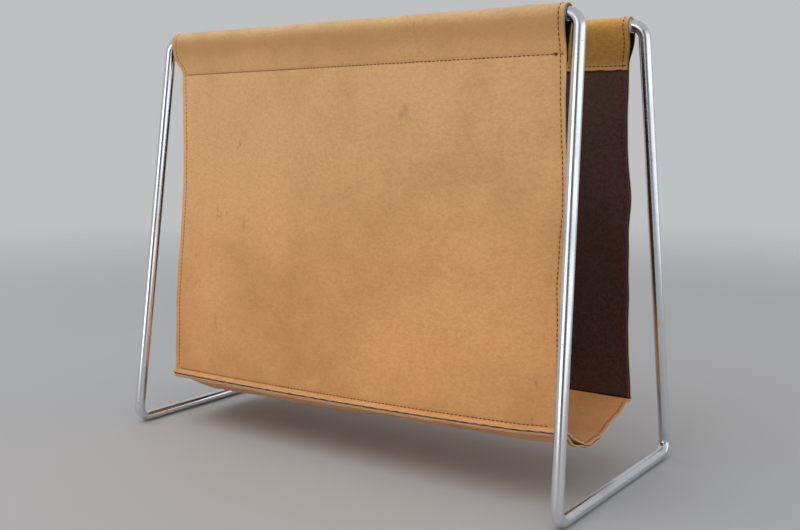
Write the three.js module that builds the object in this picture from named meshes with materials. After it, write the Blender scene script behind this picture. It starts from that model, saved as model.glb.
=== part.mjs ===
// Sling magazine rack: two bent-rod end frames, two top tubes and a stitched leather sling.
// The frames' prongs plug into the tubes, and the tubes run through sleeves along the sling's top.
//
// Millimetres, +Z up. X runs along the rack and the front is at -Y. The origin is on the floor,
// at the middle of the footprint.

import * as THREE from 'three';

const { degToRad, lerp, clamp, smoothstep } = THREE.MathUtils;

// Round bar of the end frames
const ROD_R = 5;
const ROD_SIDES = 16;
const BEND_R = 11;
const BEND_STEPS = 7;
const PRONG_LENGTH = 71;

// End frame: a trapezoid that leans out a little towards the floor
const FRAME_X = 220;
const FRAME_LEAN = degToRad(2.04);
const TUBE_Y = 59;
const TUBE_Z = 377;
const FOOT_Y = 105.8;
const RAIL_Z = ROD_R * Math.cos(Math.PI / ROD_SIDES);

// Top tubes
const TUBE_R = 6;
const TUBE_BORE_R = 5.4;
const TUBE_LENGTH = 421;

// Leather
const GAP = 0.3;
const LEATHER = 1.3;
const LINING = 1.0;
const SLEEVE_R = TUBE_R + GAP;
const SEAM_Y = 74.7;
const SEAM_Z = 57;
const LIP_LENGTH = 5;
const LIP_ANGLE = degToRad(-40);
const FLAP_JOIN_Z = 349;
const FLAP_EDGE_Z = 341.5;
const SLEEVE_HALF = 210.5;
const SLING_STEPS = 12;
const PANEL_HEIGHTS = [90, 140, 175, 210, 250, 300, 345];
const BOTTOM_SAG = 29;
const BOTTOM_SAG_SLOPE = 3.5;
const BOTTOM_FOLD = 0.35;

// Sewing thread
const THREAD_WIDTH = 0.8;
const THREAD_HEIGHT = 0.5;
const SLEEVE_SEAM_Z = 345.2;
const BOTTOM_SEAM_Z = SEAM_Z + 1.8;
const SIDE_SEAM_INSET = 5;

const steel = (roughness) =>
  new THREE.MeshStandardMaterial({ color: 0xc9ccd0, roughness, metalness: 1 });
const suede = (color) =>
  new THREE.MeshStandardMaterial({ color, roughness: 0.9, metalness: 0 });

// ---------------------------------------------------------------- bent rod

// Centre line of a bent bar: straight runs joined by round bends, one section per station.
class BentBar extends THREE.Curve {
  constructor(corners, bendRadius, bendSteps) {
    super();
    this.stations = [];
    const last = corners.length - 1;
    const heading = (i) => corners[i + 1].clone().sub(corners[i]).normalize();
    this.addStation(corners[0], heading(0));
    for (let i = 1; i < last; i += 1) {
      this.addBend(corners[i], heading(i - 1), heading(i), bendRadius, bendSteps);
    }
    this.addStation(corners[last], heading(last - 1));
  }

  addStation(point, tangent) {
    this.stations.push({ point: point.clone(), tangent: tangent.clone() });
  }

  addBend(corner, before, after, radius, steps) {
    const turn = before.angleTo(after);
    const axis = before.clone().cross(after).normalize();
    const start = corner.clone().addScaledVector(before, -radius * Math.tan(turn / 2));
    const centre = start.clone().addScaledVector(axis.clone().cross(before), radius);
    const spoke = start.clone().sub(centre);
    for (let k = 0; k <= steps; k += 1) {
      const part = new THREE.Quaternion().setFromAxisAngle(axis, (turn * k) / steps);
      const point = spoke.clone().applyQuaternion(part).add(centre);
      this.addStation(point, before.clone().applyQuaternion(part));
    }
  }

  stationAt(t) {
    return this.stations[Math.round(t * (this.stations.length - 1))];
  }

  getPointAt(t, target = new THREE.Vector3()) {
    return target.copy(this.stationAt(t).point);
  }

  getTangentAt(t, target = new THREE.Vector3()) {
    return target.copy(this.stationAt(t).tangent);
  }
}

// Regular polygon of the bar's section, turned so that one flat side faces the given angle.
function barSection(radius, sides, flatAngle) {
  const points = [];
  for (let k = 0; k < sides; k += 1) {
    const angle = flatAngle + ((k + 0.5) * 2 * Math.PI) / sides;
    points.push(new THREE.Vector2(radius * Math.cos(angle), radius * Math.sin(angle)));
  }
  return new THREE.Shape(points);
}

// One end frame: prong, leg, foot rail, leg and prong, bent from a single bar.
function endFrame(name, end) {
  const footX = FRAME_X + Math.tan(FRAME_LEAN) * (TUBE_Z - RAIL_Z);
  const at = (x, y, z) => new THREE.Vector3(end * x, y, z);
  const path = new BentBar(
    [
      at(FRAME_X - PRONG_LENGTH, -TUBE_Y, TUBE_Z),
      at(FRAME_X, -TUBE_Y, TUBE_Z),
      at(footX, -FOOT_Y, RAIL_Z),
      at(footX, FOOT_Y, RAIL_Z),
      at(FRAME_X, TUBE_Y, TUBE_Z),
      at(FRAME_X - PRONG_LENGTH, TUBE_Y, TUBE_Z),
    ],
    BEND_R,
    BEND_STEPS,
  );
  const steps = path.stations.length - 1;
  const frames = path.computeFrenetFrames(steps, false);
  const rail = Math.ceil(steps / 2);
  const downAngle = Math.atan2(-frames.binormals[rail].z, -frames.normals[rail].z);
  const section = barSection(ROD_R, ROD_SIDES, downAngle);
  const geometry = new THREE.ExtrudeGeometry(section, { steps, extrudePath: path });
  return namedMesh(name, geometry, steel(0.22));
}

// A top tube, open at both ends for the prongs.
function topTube(name, side) {
  const ring = new THREE.Shape().absarc(0, 0, TUBE_R, 0, 2 * Math.PI, false);
  ring.holes.push(new THREE.Path().absarc(0, 0, TUBE_BORE_R, 0, 2 * Math.PI, true));
  const geometry = new THREE.ExtrudeGeometry(ring, {
    depth: TUBE_LENGTH,
    curveSegments: 24,
    bevelEnabled: false,
  });
  geometry.rotateY(Math.PI / 2);
  const tube = namedMesh(name, geometry, steel(0.3));
  tube.position.set(-TUBE_LENGTH / 2, side * TUBE_Y, TUBE_Z);
  return tube;
}

// ------------------------------------------------------------ leather sling

// The sling's outlines are drawn in a plane whose first axis points away from the rack's
// middle and whose second axis points up. Its layers lie side by side along shared lines.

// Points at a distance to the right of a line, mitred at its corners.
function offsetLine(points, distance) {
  const last = points.length - 1;
  const normal = (i) => {
    const a = points[clamp(i, 0, last - 1)];
    const b = points[clamp(i, 0, last - 1) + 1];
    return new THREE.Vector2(b.y - a.y, a.x - b.x).normalize();
  };
  return points.map((point, i) => {
    const before = normal(i - 1);
    const mitre = before.clone().add(normal(i)).normalize();
    return point.clone().addScaledVector(mitre, distance / mitre.dot(before));
  });
}

// The two faces of a layer between two distances to the right of a line.
function layer(points, near, far) {
  return { near: offsetLine(points, near), far: offsetLine(points, far) };
}

// A point at an angle and a distance from a centre.
function polar(centre, angle, distance) {
  const spoke = new THREE.Vector2(Math.cos(angle), Math.sin(angle));
  return centre.clone().addScaledVector(spoke, distance);
}

// The inner face of a panel's outer leather, at a height.
function panelPoint(z) {
  const rise = (z - SEAM_Z) / (TUBE_Z - SEAM_Z);
  return new THREE.Vector2(lerp(SEAM_Y, TUBE_Y + SLEEVE_R, rise), z);
}

// From the tip of the lip that the bottom seam leaves outside, up the straight panel.
function panelLine(heights) {
  const seam = panelPoint(SEAM_Z);
  return [polar(seam, LIP_ANGLE, LIP_LENGTH), seam, ...heights.map(panelPoint)];
}

// Over the tube and down to the flap's raw edge on the inside.
function sleeveLine() {
  const centre = new THREE.Vector2(TUBE_Y, TUBE_Z);
  const under = [panelPoint(FLAP_EDGE_Z), panelPoint(FLAP_JOIN_Z)];
  const [edge, join] = offsetLine(under, -(LINING + 2 * GAP));
  const reach = join.clone().sub(centre);
  const lastAngle = reach.angle() - Math.acos(SLEEVE_R / reach.length());
  const steps = 10;
  const arc = [];
  for (let k = 0; k <= steps; k += 1) {
    arc.push(polar(centre, (lastAngle * k) / steps, SLEEVE_R));
  }
  return [...arc, join, edge];
}

// The bottom's upper face, from lip to lip through the fold in the middle.
function bottomLine(reach = 1) {
  const fold = polar(panelPoint(SEAM_Z), LIP_ANGLE - Math.PI / 2, LINING + 2 * GAP);
  const full = Math.hypot(1, BOTTOM_FOLD) - BOTTOM_FOLD;
  const half = [0, 0.12, 0.25, 0.4, 0.6, 0.8, 1].map((part) => {
    const fall = 1 - (Math.hypot(part * reach, BOTTOM_FOLD) - BOTTOM_FOLD) / full;
    return new THREE.Vector2(part * reach * fold.x, fold.y - BOTTOM_SAG * fall);
  });
  if (reach === 1) half.push(polar(fold, LIP_ANGLE, LIP_LENGTH));
  const mirrored = half.slice(1).map((point) => new THREE.Vector2(-point.x, point.y));
  return [...mirrored.reverse(), ...half];
}

// Distance of the sling's left (end -1) or right (end 1) edge from the rack's middle.
function edgeX(end, y, z) {
  const sleeve = smoothstep(z, 345, 372);
  const waist = smoothstep(z, 150, 255) * (1 - sleeve);
  const front = end < 0 ? 209 - 12 * waist : 218 - 4 * smoothstep(z, 235, 320);
  const rear = (end < 0 ? 209 : 212) - 3 * waist;
  return lerp(lerp(front, rear, smoothstep(y, -60, 60)), SLEEVE_HALF, sleeve);
}

// How far the worn sling hangs above its drawn outline: its front seam climbs to the right.
function hang(x, y, z) {
  const t = x / SLEEVE_HALF;
  const front = 6 * t + 2 * t * t;
  const rear = 1.5 * t;
  const seam = lerp(rear, front, clamp(0.5 - y / (2 * SEAM_Y), 0, 1));
  const share = clamp((FLAP_JOIN_Z - z) / (FLAP_JOIN_Z - SEAM_Z), 0, 1);
  const depth = clamp((SEAM_Z - z) / BOTTOM_SAG, 0, 1);
  return seam * share + BOTTOM_SAG_SLOPE * t * depth;
}

// Runs from edge to edge, trimmed at both.
function across(trim) {
  return {
    steps: SLING_STEPS,
    xAt: (part, y, z) => {
      const t = 2 * part - 1;
      return t * (edgeX(t < 0 ? -1 : 1, y, z) - trim);
    },
  };
}

// A narrow band that follows one edge.
function beside(end, inset, width) {
  return {
    steps: 1,
    xAt: (part, y, z) => end * (edgeX(end, y, z) - inset) + (part - 0.5) * width,
  };
}

// Carries a layer along the rack and lets it hang as worn leather does: a box with one division
// per point of the layer's line, bent to its two faces.
// side is -1 for the front, 1 for the rear, and 1 for a layer that spans the rack.
function slingGeometry({ near, far }, side, run) {
  const last = near.length - 1;
  const geometry = new THREE.BoxGeometry(1, 1, 1, run.steps, last, 1);
  const position = geometry.attributes.position;
  for (let i = 0; i < position.count; i += 1) {
    const face = side * position.getZ(i) > 0 ? near : far;
    const point = face[Math.round((position.getY(i) + 0.5) * last)];
    const y = side * point.x;
    const x = run.xAt(position.getX(i) + 0.5, y, point.y);
    position.setXYZ(i, x, y, point.y + hang(x, y, point.y));
  }
  geometry.computeVertexNormals();
  return geometry;
}

// Outer suede of one panel: lip, panel, sleeve round the tube, and flap.
function outerPanel(name, side) {
  const line = [...panelLine(PANEL_HEIGHTS), ...sleeveLine()];
  const geometry = slingGeometry(layer(line, 0, LEATHER), side, across(0));
  return namedMesh(name, geometry, suede(0xc08a58));
}

// Smooth dark lining of one panel, tucked under the flap.
function lining(name, side) {
  const line = panelLine([...PANEL_HEIGHTS, FLAP_JOIN_Z]);
  const geometry = slingGeometry(layer(line, -GAP - LINING, -GAP), side, across(1));
  return namedMesh(name, geometry, suede(0x3a2824));
}

// One of the bottom's two sheets; depth is how far its upper face lies below the top one.
function bottomSheet(name, depth, trim) {
  const geometry = slingGeometry(layer(bottomLine(), depth, depth + LEATHER), 1, across(trim));
  return namedMesh(name, geometry, suede(0xb98250));
}

// ------------------------------------------------------------------- seams

// Each row of stitches is one flat thread that lies just clear of the leather.
const THREAD_NEAR = LEATHER + GAP;
const THREAD_FAR = THREAD_NEAR + THREAD_HEIGHT;

function threadMesh(name, faces, side, run) {
  return namedMesh(name, slingGeometry(faces, side, run), suede(0x4a2a1c));
}

// A row along the rack on a panel's outer face, at a height.
function lengthwiseSeam(name, side, z) {
  const line = [panelPoint(z - THREAD_WIDTH / 2), panelPoint(z + THREAD_WIDTH / 2)];
  const trim = SIDE_SEAM_INSET + 1.5;
  return threadMesh(name, layer(line, THREAD_NEAR, THREAD_FAR), side, across(trim));
}

// A row up a panel beside one edge, over the sleeve and down its flap.
function sideSeam(name, side, end) {
  const panel = [BOTTOM_SEAM_Z + 3, ...PANEL_HEIGHTS].map(panelPoint);
  const faces = layer([...panel, ...sleeveLine()], THREAD_NEAR, THREAD_FAR);
  return threadMesh(name, faces, side, beside(end, SIDE_SEAM_INSET, THREAD_WIDTH));
}

// A row across the bottom beside one end, on the inner sheet's upper face.
function bottomEndSeam(name, end) {
  const faces = layer(bottomLine(0.94), -GAP - THREAD_HEIGHT, -GAP);
  return threadMesh(name, faces, 1, beside(end, SIDE_SEAM_INSET, THREAD_WIDTH));
}

// ---------------------------------------------------------------- assembly

function namedMesh(name, geometry, material) {
  const mesh = new THREE.Mesh(geometry, material);
  mesh.name = name;
  return mesh;
}

const rack = new THREE.Group();
rack.name = 'sling_magazine_rack';

for (const [place, end] of [['left', -1], ['right', 1]]) {
  rack.add(endFrame(`${place}_end_frame`, end));
  rack.add(bottomEndSeam(`${place}_end_seam`, end));
}

for (const [place, side] of [['front', -1], ['rear', 1]]) {
  rack.add(topTube(`${place}_top_tube`, side));
  rack.add(outerPanel(`${place}_outer_panel`, side));
  rack.add(lining(`${place}_lining`, side));
  rack.add(lengthwiseSeam(`${place}_sleeve_seam`, side, SLEEVE_SEAM_Z));
  rack.add(lengthwiseSeam(`${place}_bottom_seam`, side, BOTTOM_SEAM_Z));
  rack.add(sideSeam(`${place}_left_side_seam`, side, -1));
  rack.add(sideSeam(`${place}_right_side_seam`, side, 1));
}

rack.add(bottomSheet('bottom_inner_sheet', 0, 0.5));
rack.add(bottomSheet('bottom_outer_sheet', LEATHER + GAP, 1.5));

export default rack;
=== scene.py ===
"""Looks of a sling magazine rack: two bent-bar end frames, two top tubes and a stitched suede sling.

Metres, +Z up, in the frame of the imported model. X runs along the rack and the front is at -Y.
A panel's outline is drawn in a plane whose first axis points away from the rack's middle and
whose second axis points up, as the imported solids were, and then hung from end to end.
"""

import logging
import math
from dataclasses import dataclass, field
from enum import Enum

import bmesh
import bpy
import numpy as np
from mathutils import Euler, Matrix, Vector


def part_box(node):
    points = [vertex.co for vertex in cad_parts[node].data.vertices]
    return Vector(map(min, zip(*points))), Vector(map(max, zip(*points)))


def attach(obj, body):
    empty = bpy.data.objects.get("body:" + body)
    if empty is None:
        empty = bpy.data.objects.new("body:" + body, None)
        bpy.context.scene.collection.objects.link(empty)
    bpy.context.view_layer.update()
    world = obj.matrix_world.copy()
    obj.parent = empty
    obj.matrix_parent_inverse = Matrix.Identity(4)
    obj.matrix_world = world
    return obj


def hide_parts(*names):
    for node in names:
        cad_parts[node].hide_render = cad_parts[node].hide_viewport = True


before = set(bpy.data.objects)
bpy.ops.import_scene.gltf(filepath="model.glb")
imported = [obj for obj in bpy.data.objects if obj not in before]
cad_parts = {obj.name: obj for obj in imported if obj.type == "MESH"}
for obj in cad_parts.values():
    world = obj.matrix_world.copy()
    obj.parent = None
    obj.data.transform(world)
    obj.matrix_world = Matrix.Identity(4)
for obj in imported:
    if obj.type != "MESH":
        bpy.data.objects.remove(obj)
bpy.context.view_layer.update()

MM = 0.001
Colour = tuple[float, float, float]
Values = np.ndarray | float
Socket = bpy.types.NodeSocket
Source = Socket | Colour | float | None

log = logging.getLogger("magazine_rack")


class Side(Enum):
    """A long side of the rack, with the sign of its Y."""

    FRONT = -1
    REAR = 1


class End(Enum):
    """A short end of the rack, with the sign of its X."""

    LEFT = -1
    RIGHT = 1


class Body(Enum):
    """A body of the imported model."""

    SLING = "sling"
    LEFT_FRAME = "left_frame"
    RIGHT_FRAME = "right_frame"


class Slot(Enum):
    """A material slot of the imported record."""

    BAR = "bar"
    TUBE = "tube"
    SUEDE = "suede"
    LINING = "lining"
    THREAD = "thread"


class Face(Enum):
    """One of the two faces of a sheet of leather."""

    NEAR = "near"
    FAR = "far"


# ------------------------------------------------------------------ small maths


def blend(low: Values, high: Values, part: Values) -> Values:
    """Value that lies a part of the way from low to high."""
    return low + (high - low) * part


def smoothstep(value: Values, low: float, high: float) -> np.ndarray:
    """Smooth climb from 0 at low to 1 at high."""
    part = np.clip((value - low) / (high - low), 0, 1)
    return part * part * (3 - 2 * part)


def bell(value: Values, centre: Values, width: float) -> np.ndarray:
    """Smooth bump of height 1 round a centre."""
    return np.exp(-(((value - centre) / width) ** 2))


@dataclass(frozen=True)
class Span:
    """A stretch over which a shape comes in smoothly, in millimetres."""

    start: float
    end: float

    def share(self, value: Values) -> np.ndarray:
        """How far a value in metres has come, from 0 at the start to 1 at the end."""
        return smoothstep(value, self.start * MM, self.end * MM)


@dataclass(frozen=True)
class Bump:
    """A smooth bump round a centre, in millimetres."""

    centre: float
    width: float

    def share(self, value: Values) -> np.ndarray:
        """Height of the bump at a value in metres, 1 at its centre."""
        return bell(value, self.centre * MM, self.width * MM)


def unit(vectors: np.ndarray) -> np.ndarray:
    """Vectors scaled to length 1 along their last axis."""
    return vectors / np.maximum(np.linalg.norm(vectors, axis=-1, keepdims=True), 1e-12)


def even_angles(count: int) -> np.ndarray:
    """Angles that divide a full turn evenly, from 0."""
    return np.arange(count) * 2 * math.pi / count


def run_lengths(points: np.ndarray) -> np.ndarray:
    """Distance of each point from the first one, along the line."""
    return np.concatenate([[0], np.cumsum(np.linalg.norm(np.diff(points, axis=0), axis=1))])


def along_line(places: np.ndarray, run: np.ndarray, values: np.ndarray) -> np.ndarray:
    """Vectors read off at places along a run, one row each."""
    return np.stack([np.interp(places, run, values[:, k]) for k in range(values.shape[1])], 1)


def unevenness(seed: int, u: np.ndarray, v: np.ndarray, longest: float) -> np.ndarray:
    """Gentle seeded waves over two flat coordinates.

    Args:
        seed: Picks the waves.
        u: First coordinate, in metres.
        v: Second coordinate, in metres.
        longest: Longest wave, in metres.

    Returns:
        Heights that mostly lie between -1 and 1.
    """
    waves = 7
    rng = np.random.default_rng(seed)
    total = np.zeros(np.broadcast(u, v).shape)
    for _ in range(waves):
        heading, phase = rng.uniform(0, 2 * math.pi, 2)
        length = longest * rng.uniform(0.35, 1)
        run = u * math.cos(heading) + v * math.sin(heading)
        total = total + np.sin(2 * math.pi * run / length + phase)
    return total / (1.3 * math.sqrt(waves))


def stations(
    length: float, coarse: float, fine: float, spots: list[float], reach: float
) -> np.ndarray:
    """Places along a run that crowd together round some spots.

    Args:
        length: Length of the run.
        coarse: Spacing away from the spots.
        fine: Spacing at the spots.
        spots: Places that need close spacing.
        reach: How far from a spot the spacing stays close.

    Returns:
        Rising places from 0 to length.
    """
    places = [0.0]
    while places[-1] < length:
        here = places[-1]
        gap = min(abs(here - spot) for spot in spots)
        share = float(smoothstep(gap, 0.6 * reach, 2.2 * reach))
        places.append(here + blend(fine, coarse, share))
    return np.array(places) * length / places[-1]


def offset_line(points: np.ndarray, distance: float) -> np.ndarray:
    """Moves a flat line to its right, mitred at its corners.

    Args:
        points: Corners of the line, one row each.
        distance: How far to the right, or to the left if it is negative.

    Returns:
        Corners of the moved line.
    """
    steps = unit(np.diff(points, axis=0))
    normals = np.stack([steps[:, 1], -steps[:, 0]], axis=1)
    before = np.vstack([normals[:1], normals])
    mitre = unit(before + np.vstack([normals, normals[-1:]]))
    return points + mitre * (distance / (mitre * before).sum(axis=1))[:, None]


def polar(centre: np.ndarray, angle: float, distance: float) -> np.ndarray:
    """Point at an angle and a distance from a flat centre."""
    return centre + distance * np.array([math.cos(angle), math.sin(angle)])


def softened(
    near: np.ndarray, far: np.ndarray, spacing: float, radius: float
) -> tuple[np.ndarray, np.ndarray]:
    """Divides a layer's two outlines evenly and rounds their corners alike.

    Args:
        near: Outline of the near face, one row per corner.
        far: Outline of the far face, with as many corners.
        spacing: Distance between the new points.
        radius: About how far round a corner the bend spreads.

    Returns:
        The two outlines with rounded corners and unmoved ends.
    """
    middle = (near + far) / 2
    lengths = np.linalg.norm(np.diff(middle, axis=0), axis=1)
    marks = [0.0]
    for k, length in enumerate(lengths):
        steps = max(1, math.ceil(length / spacing))
        marks.extend(k + (np.arange(steps) + 1) / steps)
    reach = max(1, round(radius / spacing))
    weights = np.hanning(2 * reach + 3)[1:-1]
    weights /= weights.sum()
    made = []
    for line in (near, far):
        dense = along_line(np.array(marks), np.arange(len(line)), line)
        head = 2 * dense[0] - dense[reach:0:-1]
        tail = 2 * dense[-1] - dense[-2 : -reach - 2 : -1]
        padded = np.vstack([head, dense, tail])
        made.append(np.stack([np.convolve(padded[:, k], weights, "valid") for k in range(2)], 1))
    return made[0], made[1]


# -------------------------------------------------------------------- mesh work


def add_mesh(name: str, points: np.ndarray, faces: list[tuple[int, ...]]) -> bpy.types.Object:
    """Makes a smooth-shaded mesh object whose faces all point outwards.

    Args:
        name: Name of the object and its mesh.
        points: Vertices, one row each.
        faces: Vertex numbers of each face.

    Returns:
        The new object, linked to the scene.
    """
    mesh = bpy.data.meshes.new(name)
    mesh.from_pydata(points.tolist(), [], faces)
    shape = bmesh.new()
    shape.from_mesh(mesh)
    bmesh.ops.recalc_face_normals(shape, faces=shape.faces)
    shape.to_mesh(mesh)
    shape.free()
    mesh.shade_smooth()
    piece = bpy.data.objects.new(name, mesh)
    bpy.context.scene.collection.objects.link(piece)
    return piece


def set_attribute(piece: bpy.types.Object, name: str, values: np.ndarray) -> None:
    """Stores a number or a vector for each vertex, for the materials to read.

    Args:
        piece: The piece that carries the attribute.
        name: Name that the materials read it by.
        values: One number or one vector for each vertex.
    """
    kind, key = ("FLOAT", "value") if values.ndim == 1 else ("FLOAT_VECTOR", "vector")
    attribute = piece.data.attributes.new(name, kind, "POINT")
    attribute.data.foreach_set(key, values.astype(np.float32).ravel())


def dress(
    piece: bpy.types.Object, finish: bpy.types.Material, body: Body, nodes: list[str]
) -> bpy.types.Object:
    """Gives a piece its finish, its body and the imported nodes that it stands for.

    Args:
        piece: The new piece.
        finish: Its material.
        body: The body that it moves with.
        nodes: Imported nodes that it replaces.

    Returns:
        The same piece.
    """
    piece.data.materials.append(finish)
    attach(piece, body.value)
    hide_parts(*nodes)
    log.info("%s: %d faces on %s", piece.name, len(piece.data.polygons), body.value)
    return piece


def ring_faces(
    rings: int, sides: int, start: int = 0, closed: bool = False
) -> list[tuple[int, ...]]:
    """Faces that join rings of vertices into a skin, with a cap at both ends unless it is closed.

    Args:
        rings: Number of rings.
        sides: Vertices in each ring.
        start: Number of the first vertex.
        closed: Joins the last ring to the first one.

    Returns:
        Vertex numbers of each face.
    """
    faces = []
    for k in range(rings if closed else rings - 1):
        low, high = start + k * sides, start + ((k + 1) % rings) * sides
        for i in range(sides):
            j = (i + 1) % sides
            faces.append((low + i, low + j, high + j, high + i))
    if not closed:
        last = start + (rings - 1) * sides
        faces.append(tuple(range(start, start + sides)))
        faces.append(tuple(range(last, last + sides)))
    return faces


def carried_normals(tangents: np.ndarray, first: np.ndarray) -> np.ndarray:
    """Side vectors carried along a path without twist.

    Args:
        tangents: Unit headings along the path.
        first: Side vector at its start.

    Returns:
        One unit side vector for each heading.
    """
    found = [unit(first - tangents[0] * (first @ tangents[0]))]
    for heading in tangents[1:]:
        side = found[-1]
        found.append(unit(side - heading * (side @ heading)))
    return np.array(found)


# ------------------------------------------------------------------ shader work


class NodeBoard:
    """A node tree with short ways to add and join nodes."""

    def __init__(self, tree: bpy.types.NodeTree) -> None:
        """Keeps the tree that the nodes go in."""
        self.tree = tree

    def add(self, kind: str, **settings: object) -> bpy.types.Node:
        """Adds a node.

        Args:
            kind: Kind of the node.
            settings: Settings of the node that differ from its usual ones.

        Returns:
            The new node.
        """
        node = self.tree.nodes.new(kind)
        for name, value in settings.items():
            setattr(node, name, value)
        return node

    def feed(self, target: Socket, source: Source) -> None:
        """Links a socket into another one, or sets its plain value.

        Args:
            target: The socket that is fed.
            source: A socket to link, a plain value to set, or None to leave it as it is.
        """
        if isinstance(source, bpy.types.NodeSocket):
            self.tree.links.new(source, target)
        elif source is not None:
            target.default_value = source

    def math(self, operation: str, a: Source, b: Source) -> Socket:
        """Does a sum on two values.

        Args:
            operation: Name of the sum.
            a: First value.
            b: Second value.

        Returns:
            The result.
        """
        node = self.add("ShaderNodeMath", operation=operation)
        self.feed(node.inputs[0], a)
        self.feed(node.inputs[1], b)
        return node.outputs[0]

    def plus(self, a: Source, b: Source) -> Socket:
        """Sum of two values."""
        return self.math("ADD", a, b)

    def times(self, a: Source, b: Source) -> Socket:
        """Product of two values."""
        return self.math("MULTIPLY", a, b)

    def rest_of(self, value: Source, whole: float = 1.0) -> Socket:
        """What a value leaves of a whole."""
        return self.math("SUBTRACT", whole, value)

    def remap(
        self, value: Source, low: Source, high: Source, to_low: float = 0, to_high: float = 1
    ) -> Socket:
        """Stretches a value smoothly from one range to another and holds it inside.

        Args:
            value: The value.
            low: Start of its range.
            high: End of its range.
            to_low: Result at the start.
            to_high: Result at the end.

        Returns:
            The stretched value.
        """
        node = self.add("ShaderNodeMapRange", interpolation_type="SMOOTHSTEP")
        for k, source in enumerate((value, low, high, to_low, to_high)):
            self.feed(node.inputs[k], source)
        return node.outputs[0]

    def mix(self, part: Source, low: Source, high: Source) -> Socket:
        """Mixes two colours.

        Args:
            part: Share of the second colour.
            low: First colour.
            high: Second colour.

        Returns:
            The mixed colour.
        """
        node = self.add("ShaderNodeMix", data_type="RGBA")
        sockets = [s for s in node.inputs if s.enabled]
        for target, source in zip(sockets, (part, low, high), strict=True):
            self.feed(target, (*source, 1) if isinstance(source, tuple) else source)
        return next(s for s in node.outputs if s.enabled)

    def stretched(self, vector: Socket, scale: Socket | tuple[float, float, float]) -> Socket:
        """Scales coordinates along each axis.

        Args:
            vector: The coordinates.
            scale: Factor along each axis.

        Returns:
            The scaled coordinates.
        """
        node = self.add("ShaderNodeVectorMath", operation="MULTIPLY")
        self.feed(node.inputs[0], vector)
        self.feed(node.inputs[1], scale)
        return node.outputs[0]

    def noise(self, vector: Socket, scale: Source, detail: float, roughness: float) -> Socket:
        """Makes a cloudy pattern with values round 0.5.

        Args:
            vector: Coordinates that it lies on.
            scale: How many clouds fit in a metre, roughly.
            detail: How many finer layers it has.
            roughness: How strong the finer layers are.

        Returns:
            The pattern.
        """
        node = self.add("ShaderNodeTexNoise")
        self.feed(node.inputs["Vector"], vector)
        self.feed(node.inputs["Scale"], scale)
        self.feed(node.inputs["Detail"], detail)
        self.feed(node.inputs["Roughness"], roughness)
        return node.outputs[0]

    def attribute(self, name: str, output: str = "Fac") -> Socket:
        """What a mesh attribute holds."""
        return self.add("ShaderNodeAttribute", attribute_name=name).outputs[output]

    def effect(self, name: str, **inputs: Source) -> bpy.types.bpy_prop_collection:
        """Places one of the shared effects.

        Args:
            name: Name of the effect.
            inputs: What feeds each input, an underscore standing for a space.

        Returns:
            The effect's outputs, to be read by name.
        """
        node = self.add("ShaderNodeGroup", node_tree=bpy.data.node_groups[name])
        for key, value in inputs.items():
            self.feed(node.inputs[key.replace("_", " ")], value)
        return node.outputs

    def clouds(self, vector: Socket, frequency: float, spread: float) -> Socket:
        """Places the shared effect of slow clouds, whose tone runs from 0 to 1."""
        placed = self.effect("Cloudy tone", Coordinates=vector, Frequency=frequency, Spread=spread)
        return placed["Tone"]

    def cut_edge(self, vector: Socket, width: float) -> bpy.types.bpy_prop_collection:
        """Places the shared effect of a raw edge on a sheet of leather.

        Args:
            vector: Flat coordinates of the sheet.
            width: Width of the band beside the cut.

        Returns:
            The effect's outputs, to be read by name.
        """
        return self.effect(
            "Cut edge",
            Coordinates=vector,
            Edge_distance=self.attribute("edge"),
            Cut=self.attribute("cut"),
            Band_width=width,
        )

    def bump(self, height: Socket, strength: float, distance: float) -> Socket:
        """Turns a height pattern into a normal.

        Args:
            height: The pattern.
            strength: How much of it shows, from 0 to 1.
            distance: Height of the pattern's full range.

        Returns:
            The normal.
        """
        node = self.add("ShaderNodeBump")
        self.feed(node.inputs["Strength"], strength)
        self.feed(node.inputs["Distance"], distance)
        self.feed(node.inputs["Height"], height)
        return node.outputs[0]


class EffectBuilder(NodeBoard):
    """A shared shader effect: a node group with named inputs and outputs."""

    def __init__(self, name: str, inputs: dict[str, float | None], outputs: list[str]) -> None:
        """Makes the group.

        Args:
            name: Name that the materials place it by.
            inputs: Default of each input, or None for coordinates.
            outputs: Names of the outputs, which are all single values.
        """
        super().__init__(bpy.data.node_groups.new(name, "ShaderNodeTree"))
        for key, value in inputs.items():
            kind = "NodeSocketVector" if value is None else "NodeSocketFloat"
            made = self.tree.interface.new_socket(key, in_out="INPUT", socket_type=kind)
            if value is not None:
                made.default_value = value
        for key in outputs:
            self.tree.interface.new_socket(key, in_out="OUTPUT", socket_type="NodeSocketFloat")
        self.given = self.add("NodeGroupInput").outputs
        self.result = self.add("NodeGroupOutput").inputs

    def give(self, name: str, source: Socket) -> None:
        """Sends a value to an output."""
        self.tree.links.new(source, self.result[name])


def build_cloudy_tone() -> None:
    """Effect: slow light and dark clouds, as old hide shows."""
    inputs = {"Coordinates": None, "Frequency": 12, "Spread": 0.2}
    board = EffectBuilder("Cloudy tone", inputs, ["Tone"])
    cloud = board.noise(board.given["Coordinates"], board.given["Frequency"], 5, 0.6)
    low = board.rest_of(board.given["Spread"], 0.5)
    high = board.plus(0.5, board.given["Spread"])
    board.give("Tone", board.remap(cloud, low, high))


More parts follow.
